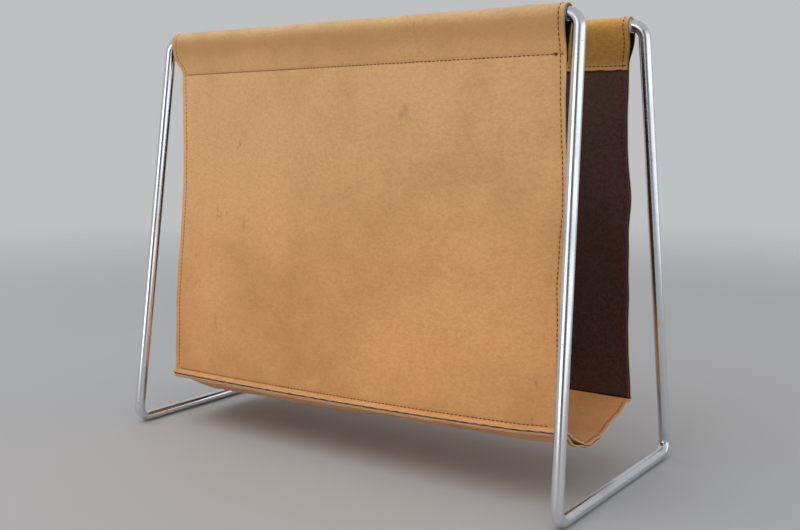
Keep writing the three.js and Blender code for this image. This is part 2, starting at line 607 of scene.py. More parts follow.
def build_nap_grain() -> None:
    """Effect: fine fibres and flecks of a brushed or grained hide."""
    inputs = {"Coordinates": None, "Fineness": 900, "Stretch": 1}
    board = EffectBuilder("Nap grain", inputs, ["Height", "Fleck"])
    combine = board.add("ShaderNodeCombineXYZ")
    board.feed(combine.inputs[0], 1.0)
    board.feed(combine.inputs[1], board.given["Stretch"])
    board.feed(combine.inputs[2], 1.0)
    drawn = board.stretched(board.given["Coordinates"], combine.outputs[0])
    fibres = board.noise(drawn, board.given["Fineness"], 4, 0.65)
    coarse = board.times(board.given["Fineness"], 0.31)
    lumps = board.noise(drawn, coarse, 2, 0.5)
    both = board.plus(fibres, board.times(lumps, 0.5))
    board.give("Height", both)
    board.give("Fleck", board.remap(both, 0.62, 0.90))


def build_cut_edge() -> None:
    """Effect: the band beside a raw cut edge, a little ragged."""
    inputs = {"Coordinates": None, "Edge distance": 1, "Cut": 0, "Band width": 0.002}
    board = EffectBuilder("Cut edge", inputs, ["Band", "Fray"])
    ragged = board.noise(board.given["Coordinates"], 420, 3, 0.6)
    near = board.math("DIVIDE", board.given["Edge distance"], board.given["Band width"])
    shifted = board.plus(near, board.times(ragged, 0.9))
    band = board.remap(shifted, 1.5, 0.6)
    board.give("Band", board.math("MAXIMUM", band, board.given["Cut"]))
    board.give("Fray", board.times(board.given["Cut"], ragged))


def build_scuffs() -> None:
    """Effect: scattered rubbed marks, longer one way than the other."""
    inputs = {"Coordinates": None, "Frequency": 30, "Amount": 0.3}
    board = EffectBuilder("Scuffs", inputs, ["Marks"])
    drawn = board.stretched(board.given["Coordinates"], (1.0, 0.45, 1.0))
    marks = board.noise(drawn, board.given["Frequency"], 6, 0.72)
    patch_size = board.times(board.given["Frequency"], 0.23)
    patches = board.noise(board.given["Coordinates"], patch_size, 2, 0.5)
    level = board.rest_of(board.times(board.given["Amount"], 0.3), 0.74)
    sharp = board.remap(marks, level, board.plus(level, 0.1))
    board.give("Marks", board.times(sharp, board.remap(patches, 0.42, 0.62)))


def build_drawn_metal() -> None:
    """Effect: fine drawing lines along a bar, with a few pits."""
    inputs = {"Coordinates": None, "Fineness": 900}
    board = EffectBuilder("Drawn metal", inputs, ["Line", "Pit", "Smear"])
    drawn = board.stretched(board.given["Coordinates"], (1.0, 0.02, 1.0))
    board.give("Line", board.noise(drawn, board.given["Fineness"], 3, 0.6))
    specks = board.noise(board.given["Coordinates"], 330, 2, 0.5)
    board.give("Pit", board.remap(specks, 0.73, 0.78))
    smear = board.noise(board.stretched(board.given["Coordinates"], (1.0, 0.25, 1.0)), 45, 4, 0.6)
    board.give("Smear", board.remap(smear, 0.4, 0.66))


def build_effects() -> None:
    """Makes every shared effect once."""
    effects = (build_cloudy_tone, build_nap_grain, build_cut_edge, build_scuffs, build_drawn_metal)
    for build in effects:
        build()


def new_material(name: str) -> tuple[bpy.types.Material, NodeBoard, bpy.types.Node]:
    """Starts a material.

    Args:
        name: Name of the material.

    Returns:
        The material, its board and its Principled shader.
    """
    material = bpy.data.materials.new(name)
    material.use_nodes = True
    return material, NodeBoard(material.node_tree), material.node_tree.nodes["Principled BSDF"]


@dataclass(frozen=True)
class SteelFinish:
    """Bright drawn steel of the bars or the tubes."""

    name: str
    light: Colour = (0.80, 0.81, 0.83)
    dull: Colour = (0.62, 0.63, 0.66)
    pit: Colour = (0.16, 0.14, 0.13)
    smooth: float = 0.12
    rough: float = 0.26
    line_rough: float = 0.07
    fineness: float = 900
    relief: float = 0.12
    relief_height: float = 0.05 * MM

    def build(self) -> bpy.types.Material:
        """Makes the material.

        Returns:
            The material.
        """
        material, board, shader = new_material(self.name)
        flat = board.attribute("flat", "Vector")
        metal = board.effect("Drawn metal", Coordinates=flat, Fineness=self.fineness)
        tone = board.clouds(flat, 20.0, 0.25)
        clean = board.mix(board.times(metal["Smear"], tone), self.light, self.dull)
        board.feed(shader.inputs["Base Color"], board.mix(metal["Pit"], clean, self.pit))
        dirt = board.plus(metal["Smear"], metal["Pit"])
        worn = board.remap(dirt, 0, 1.2, self.smooth, self.rough)
        line = board.times(metal["Line"], self.line_rough)
        board.feed(shader.inputs["Roughness"], board.plus(worn, line))
        height = board.math("SUBTRACT", metal["Line"], metal["Pit"])
        board.feed(shader.inputs["Normal"], board.bump(height, self.relief, self.relief_height))
        shader.inputs["Metallic"].default_value = 1
        return material


@dataclass(frozen=True)
class SuedeFinish:
    """Brushed tan hide with clouds, scuffs, fibres and paler cut edges, plus painted shade and a
    painted highlight on the sleeve and a painted near-black inside face.
    """

    name: str
    high: Colour = (0.80, 0.455, 0.21)
    low: Colour = (0.86, 0.415, 0.16)
    dark: Colour = (0.40, 0.19, 0.065)
    # The turned-over flap: its own more olive, coarser colour, with some painted shade because it
    # faces the inside.
    turned: Colour = (0.74, 0.385, 0.08)
    # Painted shade on the front of the sleeve, below the lit top of the roll.
    sleeve_shade: Colour = (0.50, 0.25, 0.095)
    # Painted highlight along the top of the sleeve's roll.
    roll_highlight: Colour = (0.68, 0.53, 0.30)
    edge: Colour = (0.66, 0.48, 0.33)
    # Cut edges over the sleeve and the flap turn this dark.
    dark_top_edge: Colour = (0.13, 0.075, 0.04)
    smudge: Colour = (0.19, 0.11, 0.065)
    # Near-black painted shade for the inside face of a panel's suede, which wraps the tube.
    back: Colour = (0.020, 0.011, 0.008)
    rise_start: float = 0.02
    rise_end: float = 0.30
    # Suede is darker, patchy with the mottle, within this distance of the sheet's first row.
    dark_bottom_height: float = 0.06
    dark_edge_start: float = 0.28
    dark_edge_end: float = 0.31
    edge_band: float = 1.1 * MM
    fineness: float = 950
    fibre_stretch: float = 1.5
    rough: float = 0.98
    smooth: float = 0.86
    relief: float = 0.65
    relief_height: float = 0.3 * MM
    specular: float = 0.2
    sheen: float = 0.25
    sheen_roughness: float = 0.55
    sheen_tint: Colour = (1.0, 0.86, 0.68)

    def build(self) -> bpy.types.Material:
        """Makes the material.

        Returns:
            The material.
        """
        material, board, shader = new_material(self.name)
        flat = board.attribute("flat", "Vector")
        split = board.add("ShaderNodeSeparateXYZ")
        board.feed(split.inputs[0], flat)
        height = split.outputs[1]
        rise = board.remap(height, self.rise_start, self.rise_end)
        cloud = board.clouds(flat, 7.0, 0.16)
        mottle = board.clouds(flat, 27.0, 0.24)
        stain = board.clouds(flat, 17.0, 0.2)
        fineness, stretch = self.fineness, self.fibre_stretch
        grain = board.effect("Nap grain", Coordinates=flat, Fineness=fineness, Stretch=stretch)
        marks = board.effect("Scuffs", Coordinates=flat, Frequency=34.0, Amount=0.5)["Marks"]
        edge = board.cut_edge(flat, self.edge_band)
        turned = board.attribute("turned")
        # Cut edges turn dark over the sleeve and the flap, from about 0.28 m along the sheet.
        worn = board.remap(height, self.dark_edge_start, self.dark_edge_end)
        cut_colour = board.mix(worn, self.edge, self.dark_top_edge)
        dim = board.rest_of(mottle)
        # Painted highlight on the roll's top, broken up by the mottle.
        roll_highlight_patches = board.times(board.attribute("roll_highlight"), board.remap(mottle, 0, 1, 0.6, 1.0))

        tan = board.mix(rise, self.low, self.high)
        shades = (
            # Turned-over flap: its own olive colour, partly painted shade.
            (turned, 1.0, self.turned),
            # Painted shade on the front of the sleeve.
            (board.attribute("sleeve_shade"), 0.8, self.sleeve_shade),
            (roll_highlight_patches, 0.9, self.roll_highlight),
            (board.rest_of(cloud), 0.13, self.dark),
            (dim, 0.06, self.dark),
            (board.times(board.rest_of(stain), board.rest_of(cloud, 1.15)), 0.26, self.dark),
            # Darker towards the bottom edge, patchy with the mottle.
            (board.times(dim, board.remap(height, self.dark_bottom_height, 0.0)), 0.30, self.dark),
            (marks, 0.42, self.smudge),
            (grain["Fleck"], 0.28, self.dark),
            (board.times(grain["Fleck"], turned), 0.35, self.dark),
            (board.attribute("seam"), 0.25, self.dark),
            (edge["Band"], 0.45, cut_colour),
            # Painted shade: the inside face of a panel's suede goes near black.
            (board.attribute("under"), 1.0, self.back),
        )
        for mask, strength, colour in shades:
            tan = board.mix(board.times(mask, strength), tan, colour)
        board.feed(shader.inputs["Base Color"], tan)
        board.feed(shader.inputs["Roughness"], board.remap(mottle, 0, 1, self.rough, self.smooth))
        relief = board.plus(board.plus(grain["Height"], board.times(mottle, 0.5)), edge["Fray"])
        board.feed(shader.inputs["Normal"], board.bump(relief, self.relief, self.relief_height))
        shader.inputs["Specular IOR Level"].default_value = self.specular
        shader.inputs["Sheen Weight"].default_value = self.sheen
        shader.inputs["Sheen Roughness"].default_value = self.sheen_roughness
        shader.inputs["Sheen Tint"].default_value = (*self.sheen_tint, 1)
        return material


@dataclass(frozen=True)
class LiningFinish:
    """Smooth dark brown lining leather with fine pores and dust."""

    name: str
    base: Colour = (0.046, 0.020, 0.016)
    worn: Colour = (0.075, 0.036, 0.029)
    dust: Colour = (0.22, 0.15, 0.12)
    edge: Colour = (0.16, 0.08, 0.055)
    edge_band: float = 0.8 * MM
    fineness: float = 1500
    smooth: float = 0.5
    rough: float = 0.72
    relief: float = 0.4
    relief_height: float = 0.12 * MM
    specular: float = 0.35

    def build(self) -> bpy.types.Material:
        """Makes the material.

        Returns:
            The material.
        """
        material, board, shader = new_material(self.name)
        flat = board.attribute("flat", "Vector")
        cloud = board.clouds(flat, 9.0, 0.2)
        grain = board.effect("Nap grain", Coordinates=flat, Fineness=self.fineness)
        marks = board.effect("Scuffs", Coordinates=flat, Frequency=60.0, Amount=0.3)["Marks"]
        edge = board.cut_edge(flat, self.edge_band)
        specks = board.remap(board.noise(flat, 420.0, 2, 0.5), 0.70, 0.76)
        brown = board.mix(cloud, self.base, self.worn)
        shades = (
            (grain["Fleck"], 0.30, self.dust),
            (marks, 0.25, self.dust),
            (specks, 0.5, self.dust),
            (edge["Band"], 0.6, self.edge),
        )
        for mask, strength, colour in shades:
            brown = board.mix(board.times(mask, strength), brown, colour)
        board.feed(shader.inputs["Base Color"], brown)
        shine = board.remap(grain["Fleck"], 0, 1, self.smooth, self.rough)
        board.feed(shader.inputs["Roughness"], shine)
        relief = board.bump(grain["Height"], self.relief, self.relief_height)
        board.feed(shader.inputs["Normal"], relief)
        shader.inputs["Specular IOR Level"].default_value = self.specular
        return material


@dataclass(frozen=True)
class ThreadFinish:
    """Waxed brown sewing thread with a twist."""

    name: str
    dark: Colour = (0.085, 0.018, 0.004)
    light: Colour = (0.26, 0.07, 0.014)
    twist: float = 1300
    twist_wobble: float = 1.5
    twist_shade: float = 0.35
    smooth: float = 0.7
    rough: float = 0.85
    relief: float = 0.5
    relief_height: float = 0.1 * MM
    specular: float = 0.1

    def build(self) -> bpy.types.Material:
        """Makes the material.

        Returns:
            The material.
        """
        material, board, shader = new_material(self.name)
        place = board.add("ShaderNodeTexCoord").outputs["Object"]
        wave = board.add("ShaderNodeTexWave", wave_type="BANDS", bands_direction="DIAGONAL")
        board.feed(wave.inputs["Vector"], place)
        board.feed(wave.inputs["Scale"], self.twist)
        board.feed(wave.inputs["Distortion"], self.twist_wobble)
        strands = wave.outputs["Fac"]
        colour = board.mix(board.clouds(place, 35.0, 0.25), self.dark, self.light)
        colour = board.mix(board.times(strands, self.twist_shade), colour, self.dark)
        board.feed(shader.inputs["Base Color"], colour)
        board.feed(shader.inputs["Roughness"], board.remap(strands, 0, 1, self.smooth, self.rough))
        board.feed(shader.inputs["Normal"], board.bump(strands, self.relief, self.relief_height))
        shader.inputs["Specular IOR Level"].default_value = self.specular
        return material


@dataclass(frozen=True)
class StudioFinish:
    """Pale floor of the studio, which fades into the backdrop far from the rack."""

    name: str
    colour: Colour = (0.47, 0.47, 0.475)
    fade_start: float = 0.7
    fade_end: float = 2.4

    def build(self) -> bpy.types.Material:
        """Makes the material.

        Returns:
            The material.
        """
        material, board, shader = new_material(self.name)
        place = board.add("ShaderNodeTexCoord").outputs["Object"]
        tone = board.clouds(place, 2.0, 0.4)
        darker = tuple(0.97 * channel for channel in self.colour)
        board.feed(shader.inputs["Base Color"], board.mix(tone, darker, self.colour))
        board.feed(shader.inputs["Roughness"], board.remap(tone, 0, 1, 0.6, 0.7))
        reach = board.add("ShaderNodeVectorMath", operation="LENGTH")
        board.feed(reach.inputs[0], place)
        faded = board.remap(reach.outputs["Value"], self.fade_start, self.fade_end, 1, 0)
        board.feed(shader.inputs["Alpha"], faded)
        return material


# ----------------------------------------------------------------- leather work


@dataclass
class Sheet:
    """A cut piece of leather, laid out as two faces on one grid of rows and columns."""

    near: np.ndarray
    far: np.ndarray
    along: np.ndarray
    across: np.ndarray
    seed: int
    masks: dict[str, np.ndarray] = field(default_factory=dict)
    # Paints the near face near black, as shade inside the sleeve.
    painted_dark_inside: bool = False
    rim_steps: int = 3
    rim_share: float = 0.36
    hide_shift: float = 0.37
    face_shift: float = 0.11

    def place(
        self, along: np.ndarray, across: np.ndarray, face: Face
    ) -> tuple[np.ndarray, np.ndarray]:
        """Finds points on one face and its outward normals there.

        Args:
            along: Flat distances from the first row.
            across: Flat distances from the left edge.
            face: The face to lie on.

        Returns:
            Points and unit normals, one row each.
        """
        rows = np.interp(along, self.along, np.arange(len(self.along)))
        columns = np.interp(across, self.across, np.arange(len(self.across)))
        low = np.minimum(rows.astype(int), len(self.along) - 2)
        left = np.minimum(columns.astype(int), len(self.across) - 2)
        up, right = (rows - low)[:, None], (columns - left)[:, None]

        def sample(grid: np.ndarray) -> np.ndarray:
            """Reads a grid between its four nearest points.

            Args:
                grid: The grid of points.

            Returns:
                One point for each place.
            """
            first = blend(grid[low, left], grid[low, left + 1], right)
            return blend(first, blend(grid[low + 1, left], grid[low + 1, left + 1], right), up)

        near, far = sample(self.near), sample(self.far)
        outward = unit(far - near) if face is Face.FAR else unit(near - far)
        return (far if face is Face.FAR else near), outward

    def edge_distance(self) -> np.ndarray:
        """Measures how far each grid point lies from the closest cut edge.

        Returns:
            Flat distances by row and column.
        """
        rows = np.minimum(self.along, self.along[-1] - self.along)
        columns = np.minimum(self.across, self.across[-1] - self.across)
        return np.minimum(rows[:, None], columns[None, :])

    def rim_order(self) -> list[tuple[int, int]]:
        """Goes once round the sheet's edge.

        Returns:
            Row and column of each grid point on the edge, in order.
        """
        rows, columns = len(self.along), len(self.across)
        ring = [(0, c) for c in range(columns)]
        ring += [(r, columns - 1) for r in range(1, rows)]
        ring += [(rows - 1, c) for c in range(columns - 2, -1, -1)]
        ring += [(r, 0) for r in range(rows - 2, 0, -1)]
        return ring

    def rim_outward(self, ring: list[tuple[int, int]]) -> np.ndarray:
        """Finds which way is away from the sheet along its edge.

        Args:
            ring: Row and column of each grid point on the edge.

        Returns:
            One unit direction for each of them.
        """
        middle = (self.near + self.far) / 2
        rows, columns = middle.shape[:2]
        found = []
        for r, c in ring:
            away = np.zeros(3)
            if r in (0, rows - 1):
                away += unit(middle[r, c] - middle[1 if r == 0 else rows - 2, c])
            if c in (0, columns - 1):
                away += unit(middle[r, c] - middle[r, 1 if c == 0 else columns - 2])
            found.append(unit(away))
        return np.array(found)

    def build(self, name: str) -> bpy.types.Object:
        """Makes the closed mesh, with its edges a little rounded.

        Args:
            name: Name of the piece.

        Returns:
            The new piece, with the attributes that the leather finishes read.
        """
        rows, columns = len(self.along), len(self.across)
        ring = self.rim_order()
        away = self.rim_outward(ring)
        r, c = np.array(ring).T
        thickness = np.linalg.norm(self.far[r, c] - self.near[r, c], axis=1, keepdims=True)
        inset = away * thickness * self.rim_share
        near, far = self.near.copy(), self.far.copy()
        near[r, c] -= inset
        far[r, c] -= inset
        middle, half = (near[r, c] + far[r, c]) / 2, (far[r, c] - near[r, c]) / 2
        rims = []
        for k in range(self.rim_steps):
            angle = math.pi * ((k + 1) / (self.rim_steps + 1) - 0.5)
            rims.append(middle + half * math.sin(angle) + inset * math.cos(angle))
        points = np.vstack([near.reshape(-1, 3), far.reshape(-1, 3), *rims])

        count = rows * columns
        faces = []
        for i in range(rows - 1):
            for j in range(columns - 1):
                a = i * columns + j
                quad = (a, a + 1, a + columns + 1, a + columns)
                faces.append(quad)
                faces.append(tuple(count + v for v in reversed(quad)))
        starts = r * columns + c
        around = np.arange(len(ring))
        loops = [starts, *(2 * count + k * len(ring) + around for k in range(self.rim_steps))]
        loops.append(count + starts)
        for low, high in zip(loops, loops[1:]):
            for k in range(len(ring)):
                after = (k + 1) % len(ring)
                faces.append((int(low[k]), int(low[after]), int(high[after]), int(high[k])))

        piece = add_mesh(name, points, faces)
        self.mark(piece, r, c)
        return piece

    def mark(self, piece: bpy.types.Object, r: np.ndarray, c: np.ndarray) -> None:
        """Stores what the leather finishes read: flat places, edges, the turned flap, seams, painted
        shade and highlight on the sleeve, and a painted near-black inside face.

        Args:
            piece: The sheet's mesh: near face, far face, then the rings round its edge.
            r: Row of each grid point on the edge.
            c: Column of each of them.
        """
        rows, columns = len(self.along), len(self.across)
        count = rows * columns
        across, along = np.meshgrid(self.across, self.along)
        grid = np.stack([across, along, np.full_like(across, self.hide_shift * self.seed)], axis=-1)
        near = grid.reshape(-1, 3)
        far = near + np.array([0, 0, self.face_shift])
        set_attribute(piece, "flat", np.vstack([near, far] + [grid[r, c]] * self.rim_steps))
        edge = np.tile(self.edge_distance().ravel(), 2)
        rim = np.zeros(len(r) * self.rim_steps)
        set_attribute(piece, "edge", np.concatenate([edge, rim]))
        set_attribute(piece, "cut", np.concatenate([np.zeros(2 * count), rim + 1]))
        # Painted shade: marks the near face of a panel's suede to be near black.
        under = np.zeros(2 * count + len(rim))
        under[:count] = self.painted_dark_inside
        set_attribute(piece, "under", under)
        for key in ("turned", "sleeve_shade", "roll_highlight", "seam"):
            mask = self.masks.get(key, np.zeros((rows, columns)))
            faced = [mask.ravel(), mask.ravel()] + [mask[r, c]] * self.rim_steps
            set_attribute(piece, key, np.concatenate(faced))


@dataclass(frozen=True)
class Drape:
    """How the worn sling hangs between its ends."""

    half_length: float = 210.5 * MM
    seam_y: float = 74.7 * MM
    seam_z: float = 57 * MM
    flap_join_z: float = 349 * MM
    front_left_edge: float = 210.3 * MM
    front_left_waist: float = 13.8 * MM
    front_right_edge: float = 218.5 * MM
    front_right_waist: float = 4.5 * MM
    front_right_top: float = 211.3 * MM
    rear_left_edge: float = 209 * MM
    rear_right_edge: float = 208.4 * MM
    rear_right_foot: float = 3.2 * MM
    rear_right_trim: float = 1.2 * MM
    rear_waist: float = 3.5 * MM
    rear_bulge: float = 3.6 * MM
    seam_climb: float = 6 * MM
    seam_curl: float = 2 * MM
    right_curl: float = 1.0 * MM
    corner_lift: float = 1.0 * MM
    corner_flare: float = 1.6 * MM
    rear_climb: float = 1.5 * MM
    bottom_climb: float = 3.5 * MM
    right_ridge: float = 3.0 * MM
    right_dip: float = 2.0 * MM
    right_lap: float = 4.2 * MM
    front_lap: float = 1.8 * MM
    bottom_sag: float = 29 * MM
    bottom_wave: float = 1.2 * MM
    bottom_wave_length: float = 0.22
    bottom_seed: int = 31
    billow: float = 1.5 * MM
    rear_billow: float = 0.45
    billow_length: float = 0.30
    billow_seed: int = 20
    cut_waver: float = 0.25 * MM
    cut_waver_length: float = 60 * MM
    cut_seed: int = 5
    seam_turn: float = 4 * MM

    # Where along X
    bottom_near_right: Span = Span(130, 214)
    front_corner: Span = Span(180, 212)

    # Where across Y
    front_to_rear: Span = Span(-60, 60)
    bottom_rim: Span = Span(56, 73)
    ridge: Bump = Bump(27, 17)
    dip: Bump = Bump(62, 14)
    lap: Bump = Bump(0, 12)
    lap_by_front: Bump = Bump(-58, 6)

    # Where up the drawn outline
    foot_corner: Span = Span(46, 68)
    lower_panel: Span = Span(58, 110)
    foot: Span = Span(60, 110)
    front_waist: Span = Span(112, 265)
    other_waist: Span = Span(150, 255)
    flare: Span = Span(235, 320)
    bulge: Bump = Bump(235, 28)
    upper_panel: Span = Span(300, 352)
    sleeve: Span = Span(345, 372)

    def left_edge(self, z: np.ndarray, rearward: np.ndarray) -> np.ndarray:
        """Distance of the left cut edge from the rack's middle, below the sleeve.

        Args:
            z: Height on the drawn outline.
            rearward: How far back the point lies, from 0 at the front to 1 at the rear.

        Returns:
            Distances along X, always positive.
        """
        below = 1 - self.sleeve.share(z)
        front = self.front_left_edge - self.front_left_waist * (self.front_waist.share(z) * below)
        front = front + self.corner_flare * (1 - self.foot_corner.share(z))
        rear = self.rear_left_edge - self.rear_waist * (self.other_waist.share(z) * below)
        return blend(front, rear, rearward)

    def right_edge(self, z: np.ndarray, rearward: np.ndarray) -> np.ndarray:
        """Distance of the right cut edge from the rack's middle, below the sleeve.

        Args:
            z: Height on the drawn outline.
            rearward: How far back the point lies, from 0 at the front to 1 at the rear.

        Returns:
            Distances along X, always positive.
        """
        front = self.front_right_edge - self.front_right_waist * self.flare.share(z)
        waist = self.other_waist.share(z) * (1 - self.sleeve.share(z))
        foot = self.rear_right_foot * (1 - self.foot.share(z))
        bulge = self.rear_bulge * self.bulge.share(z)
        rear = self.rear_right_edge + foot - self.rear_waist * waist + bulge
        return blend(front, rear, rearward)

    def edge_x(self, end: np.ndarray, y: np.ndarray, z: np.ndarray) -> np.ndarray:
        """Distance of the sling's cut edge from the rack's middle.

        Args:
            end: Sign of the end, -1 or 1.
            y: Depth, in metres.
            z: Height on the drawn outline, in metres.

        Returns:
            Distances along X, always positive.
        """
        rearward = self.front_to_rear.share(y)
        right_top = blend(self.front_right_top, self.half_length - self.rear_right_trim, rearward)
        low = np.where(end < 0, self.left_edge(z, rearward), self.right_edge(z, rearward))
        top = np.where(end < 0, self.half_length, right_top)
        edge = blend(low, top, self.sleeve.share(z))
        u, v = end * 0.7 + 0.2 * np.sign(y), z + 0.4 * y
        return edge + self.cut_waver * unevenness(self.cut_seed, u, v, self.cut_waver_length)

    def lift(self, x: np.ndarray, y: np.ndarray, z: np.ndarray) -> np.ndarray:
        """How far a point hangs above its drawn outline.

        Args:
            x: Place along the rack.
            y: Depth.
            z: Height on the outline.

        Returns:
            Heights to add.
        """
        t = x / self.half_length
        curl = self.seam_curl * t * t + self.right_curl * np.maximum(t, 0) ** 2
        front = self.seam_climb * t + curl + self.corner_lift * self.front_corner.share(x)
        rear = self.rear_climb * t
        seam = blend(rear, front, np.clip(0.5 - y / (2 * self.seam_y), 0, 1))
        share = np.clip((self.flap_join_z - z) / (self.flap_join_z - self.seam_z), 0, 1)
        depth = np.clip((self.seam_z - z) / self.bottom_sag, 0, 1)
        return seam * share + self.bottom_climb * t * depth

    def swell(self, side: int, x: np.ndarray, z: np.ndarray) -> np.ndarray:
        """How far a panel stands out from its flat plane, the same for each of its layers.

        Args:
            side: -1 for the front, 1 for the rear.
            x: Place along the rack.
            z: Height on the outline.

        Returns:
            Distances outwards.
        """
        window = self.lower_panel.share(z) * (1 - self.upper_panel.share(z))
        size = self.billow if side < 0 else self.rear_billow * self.billow
        return size * window * unevenness(self.billow_seed + side, x, z, self.billow_length)

    def settle(self, x: np.ndarray, y: np.ndarray) -> np.ndarray:
        """How far the bottom lies above its even sag, the same for both sheets.

        Args:
            x: Place along the rack.
            y: Depth.

        Returns:
            Heights to add.
        """
        waves = unevenness(self.bottom_seed, x, y, self.bottom_wave_length)
        ridge = self.right_ridge * self.ridge.share(y) - self.right_dip * self.dip.share(y)
        lap = self.right_lap * self.lap.share(y) + self.front_lap * self.lap_by_front.share(y)
        worn = self.bottom_wave * waves + self.bottom_near_right.share(x) * (ridge + lap)
        return (1 - self.bottom_rim.share(np.abs(y))) * worn

    def hang(self, line: np.ndarray, side: int, columns: np.ndarray, trim: float) -> np.ndarray:
        """Carries an outline along the rack and lets it hang.

        Args:
            line: Outline points, outward distance and height.
            side: -1 for the front, 1 for the rear or for the bottom.
            columns: Place of each column, from -1 to 1.
            trim: How much shorter than the sling the sheet is at each end.

        Returns:
            Points by row and column.
        """
        y, z, t = side * line[:, :1], line[:, 1:], columns[None, :]
        x = t * (self.edge_x(np.sign(t), y, z) - trim)
        low = smoothstep(z, self.seam_z + self.seam_turn, self.seam_z - self.seam_turn)
        sunk = self.settle(x, y) * low
        out = self.swell(1 if side > 0 else -1, x, z) * side
        height = z + self.lift(x, y, z) + sunk
        return np.stack(np.broadcast_arrays(x, y + out, height), axis=-1)


@dataclass(frozen=True)
class StitchStyle:
    """Sizes of one row of stitches."""

    pitch: float = 3.9 * MM
    length: float = 3.1 * MM
    radius: float = 0.34 * MM
    arch: float = 0.28 * MM
    sink: float = 0.12 * MM
    rings: int = 7
    sides: int = 8
    sway: float = 0.12 * MM
    start: float = 0.3
    shortest: float = 0.9
    longest: float = 1.06
    knot_radius: float = 0.9
    knot_steps: int = 48


class StitchRow:
    """Stitches laid along lines on a sheet's faces, gathered into one mesh."""

    def __init__(self, style: StitchStyle, seed: int) -> None:
        """Starts an empty row.

        Args:
            style: Sizes of the stitches.
            seed: Picks their small differences.
        """
        self.style = style
        self.rng = np.random.default_rng(seed)
        self.points: list[np.ndarray] = []
        self.faces: list[tuple[int, ...]] = []
        self.count = 0

    def add_skin(self, rings: np.ndarray, closed: bool = False) -> None:
        """Adds one skin of rings.

        Args:
            rings: Points of the rings, shaped (rings, sides, 3).
            closed: Joins the last ring to the first one.
        """
        self.faces += ring_faces(rings.shape[0], rings.shape[1], self.count, closed)
        self.points.append(rings.reshape(-1, 3))
        self.count += rings.shape[0] * rings.shape[1]

    def follow(self, points: np.ndarray, normals: np.ndarray) -> None:
        """Lays stitches along a line that lies on a face.

        Args:
            points: Closely spaced points on the face.
            normals: The face's outward normals there.
        """
        style = self.style
        run = run_lengths(points)
        turn = even_angles(style.sides)
        part = np.linspace(0, 1, style.rings)
        thick = style.radius * np.sqrt(np.clip(1 - np.abs(2 * part - 1) ** 3, 0.05, 1))
        hump = style.arch * np.sin(math.pi * part) - style.sink
        for start in np.arange(style.start * style.pitch, run[-1] - style.length, style.pitch):
            length = style.length * self.rng.uniform(style.shortest, style.longest)
            at = start + length * part
            centre = along_line(at, run, points)
            out = unit(along_line(at, run, normals))
            heading = unit(centre[-1] - centre[0])
            side = unit(np.cross(heading, out))
            lean = self.rng.uniform(-1, 1, 2) * style.sway
            centre = centre + side * blend(lean[0], lean[1], part)[:, None] + out * hump[:, None]
            around = np.cos(turn)[:, None] * side[:, None] + np.sin(turn)[:, None] * out[:, None]
            self.add_skin(centre[:, None] + thick[:, None, None] * around)

    def add_knot(
        self, centre: np.ndarray, heading: np.ndarray, normal: np.ndarray, size: float
    ) -> None:
        """Ties a small overhand knot that sits on the face.

        Args:
            centre: Middle of the knot.
            heading: Direction of the row.
            normal: The face's outward normal.
            size: Half the knot's width.
        """
        turns = even_angles(self.style.knot_steps)
        loop = np.stack(
            [
                np.sin(turns) + 2 * np.sin(2 * turns),
                np.cos(turns) - 2 * np.cos(2 * turns),
                -np.sin(3 * turns),
            ],
            axis=1,
        )
        basis = np.stack([heading, np.cross(normal, heading), normal])
        path = centre + (loop * np.array([1, 1, 0.9]) * size / 3) @ basis
        tangents = unit(np.roll(path, -1, axis=0) - np.roll(path, 1, axis=0))
        sides = unit(np.cross(tangents, normal + 1e-6))
        ups = np.cross(sides, tangents)
        angle = even_angles(self.style.sides)
        around = np.cos(angle)[:, None] * sides[:, None] + np.sin(angle)[:, None] * ups[:, None]
        radius = self.style.radius * self.style.knot_radius
        self.add_skin(path[:, None] + radius * around, closed=True)

    def build(self, name: str) -> bpy.types.Object:
        """Makes the piece that holds all the stitches."""
        return add_mesh(name, np.vstack(self.points), self.faces)


# ---------------------------------------------------------------- sub-assemblies


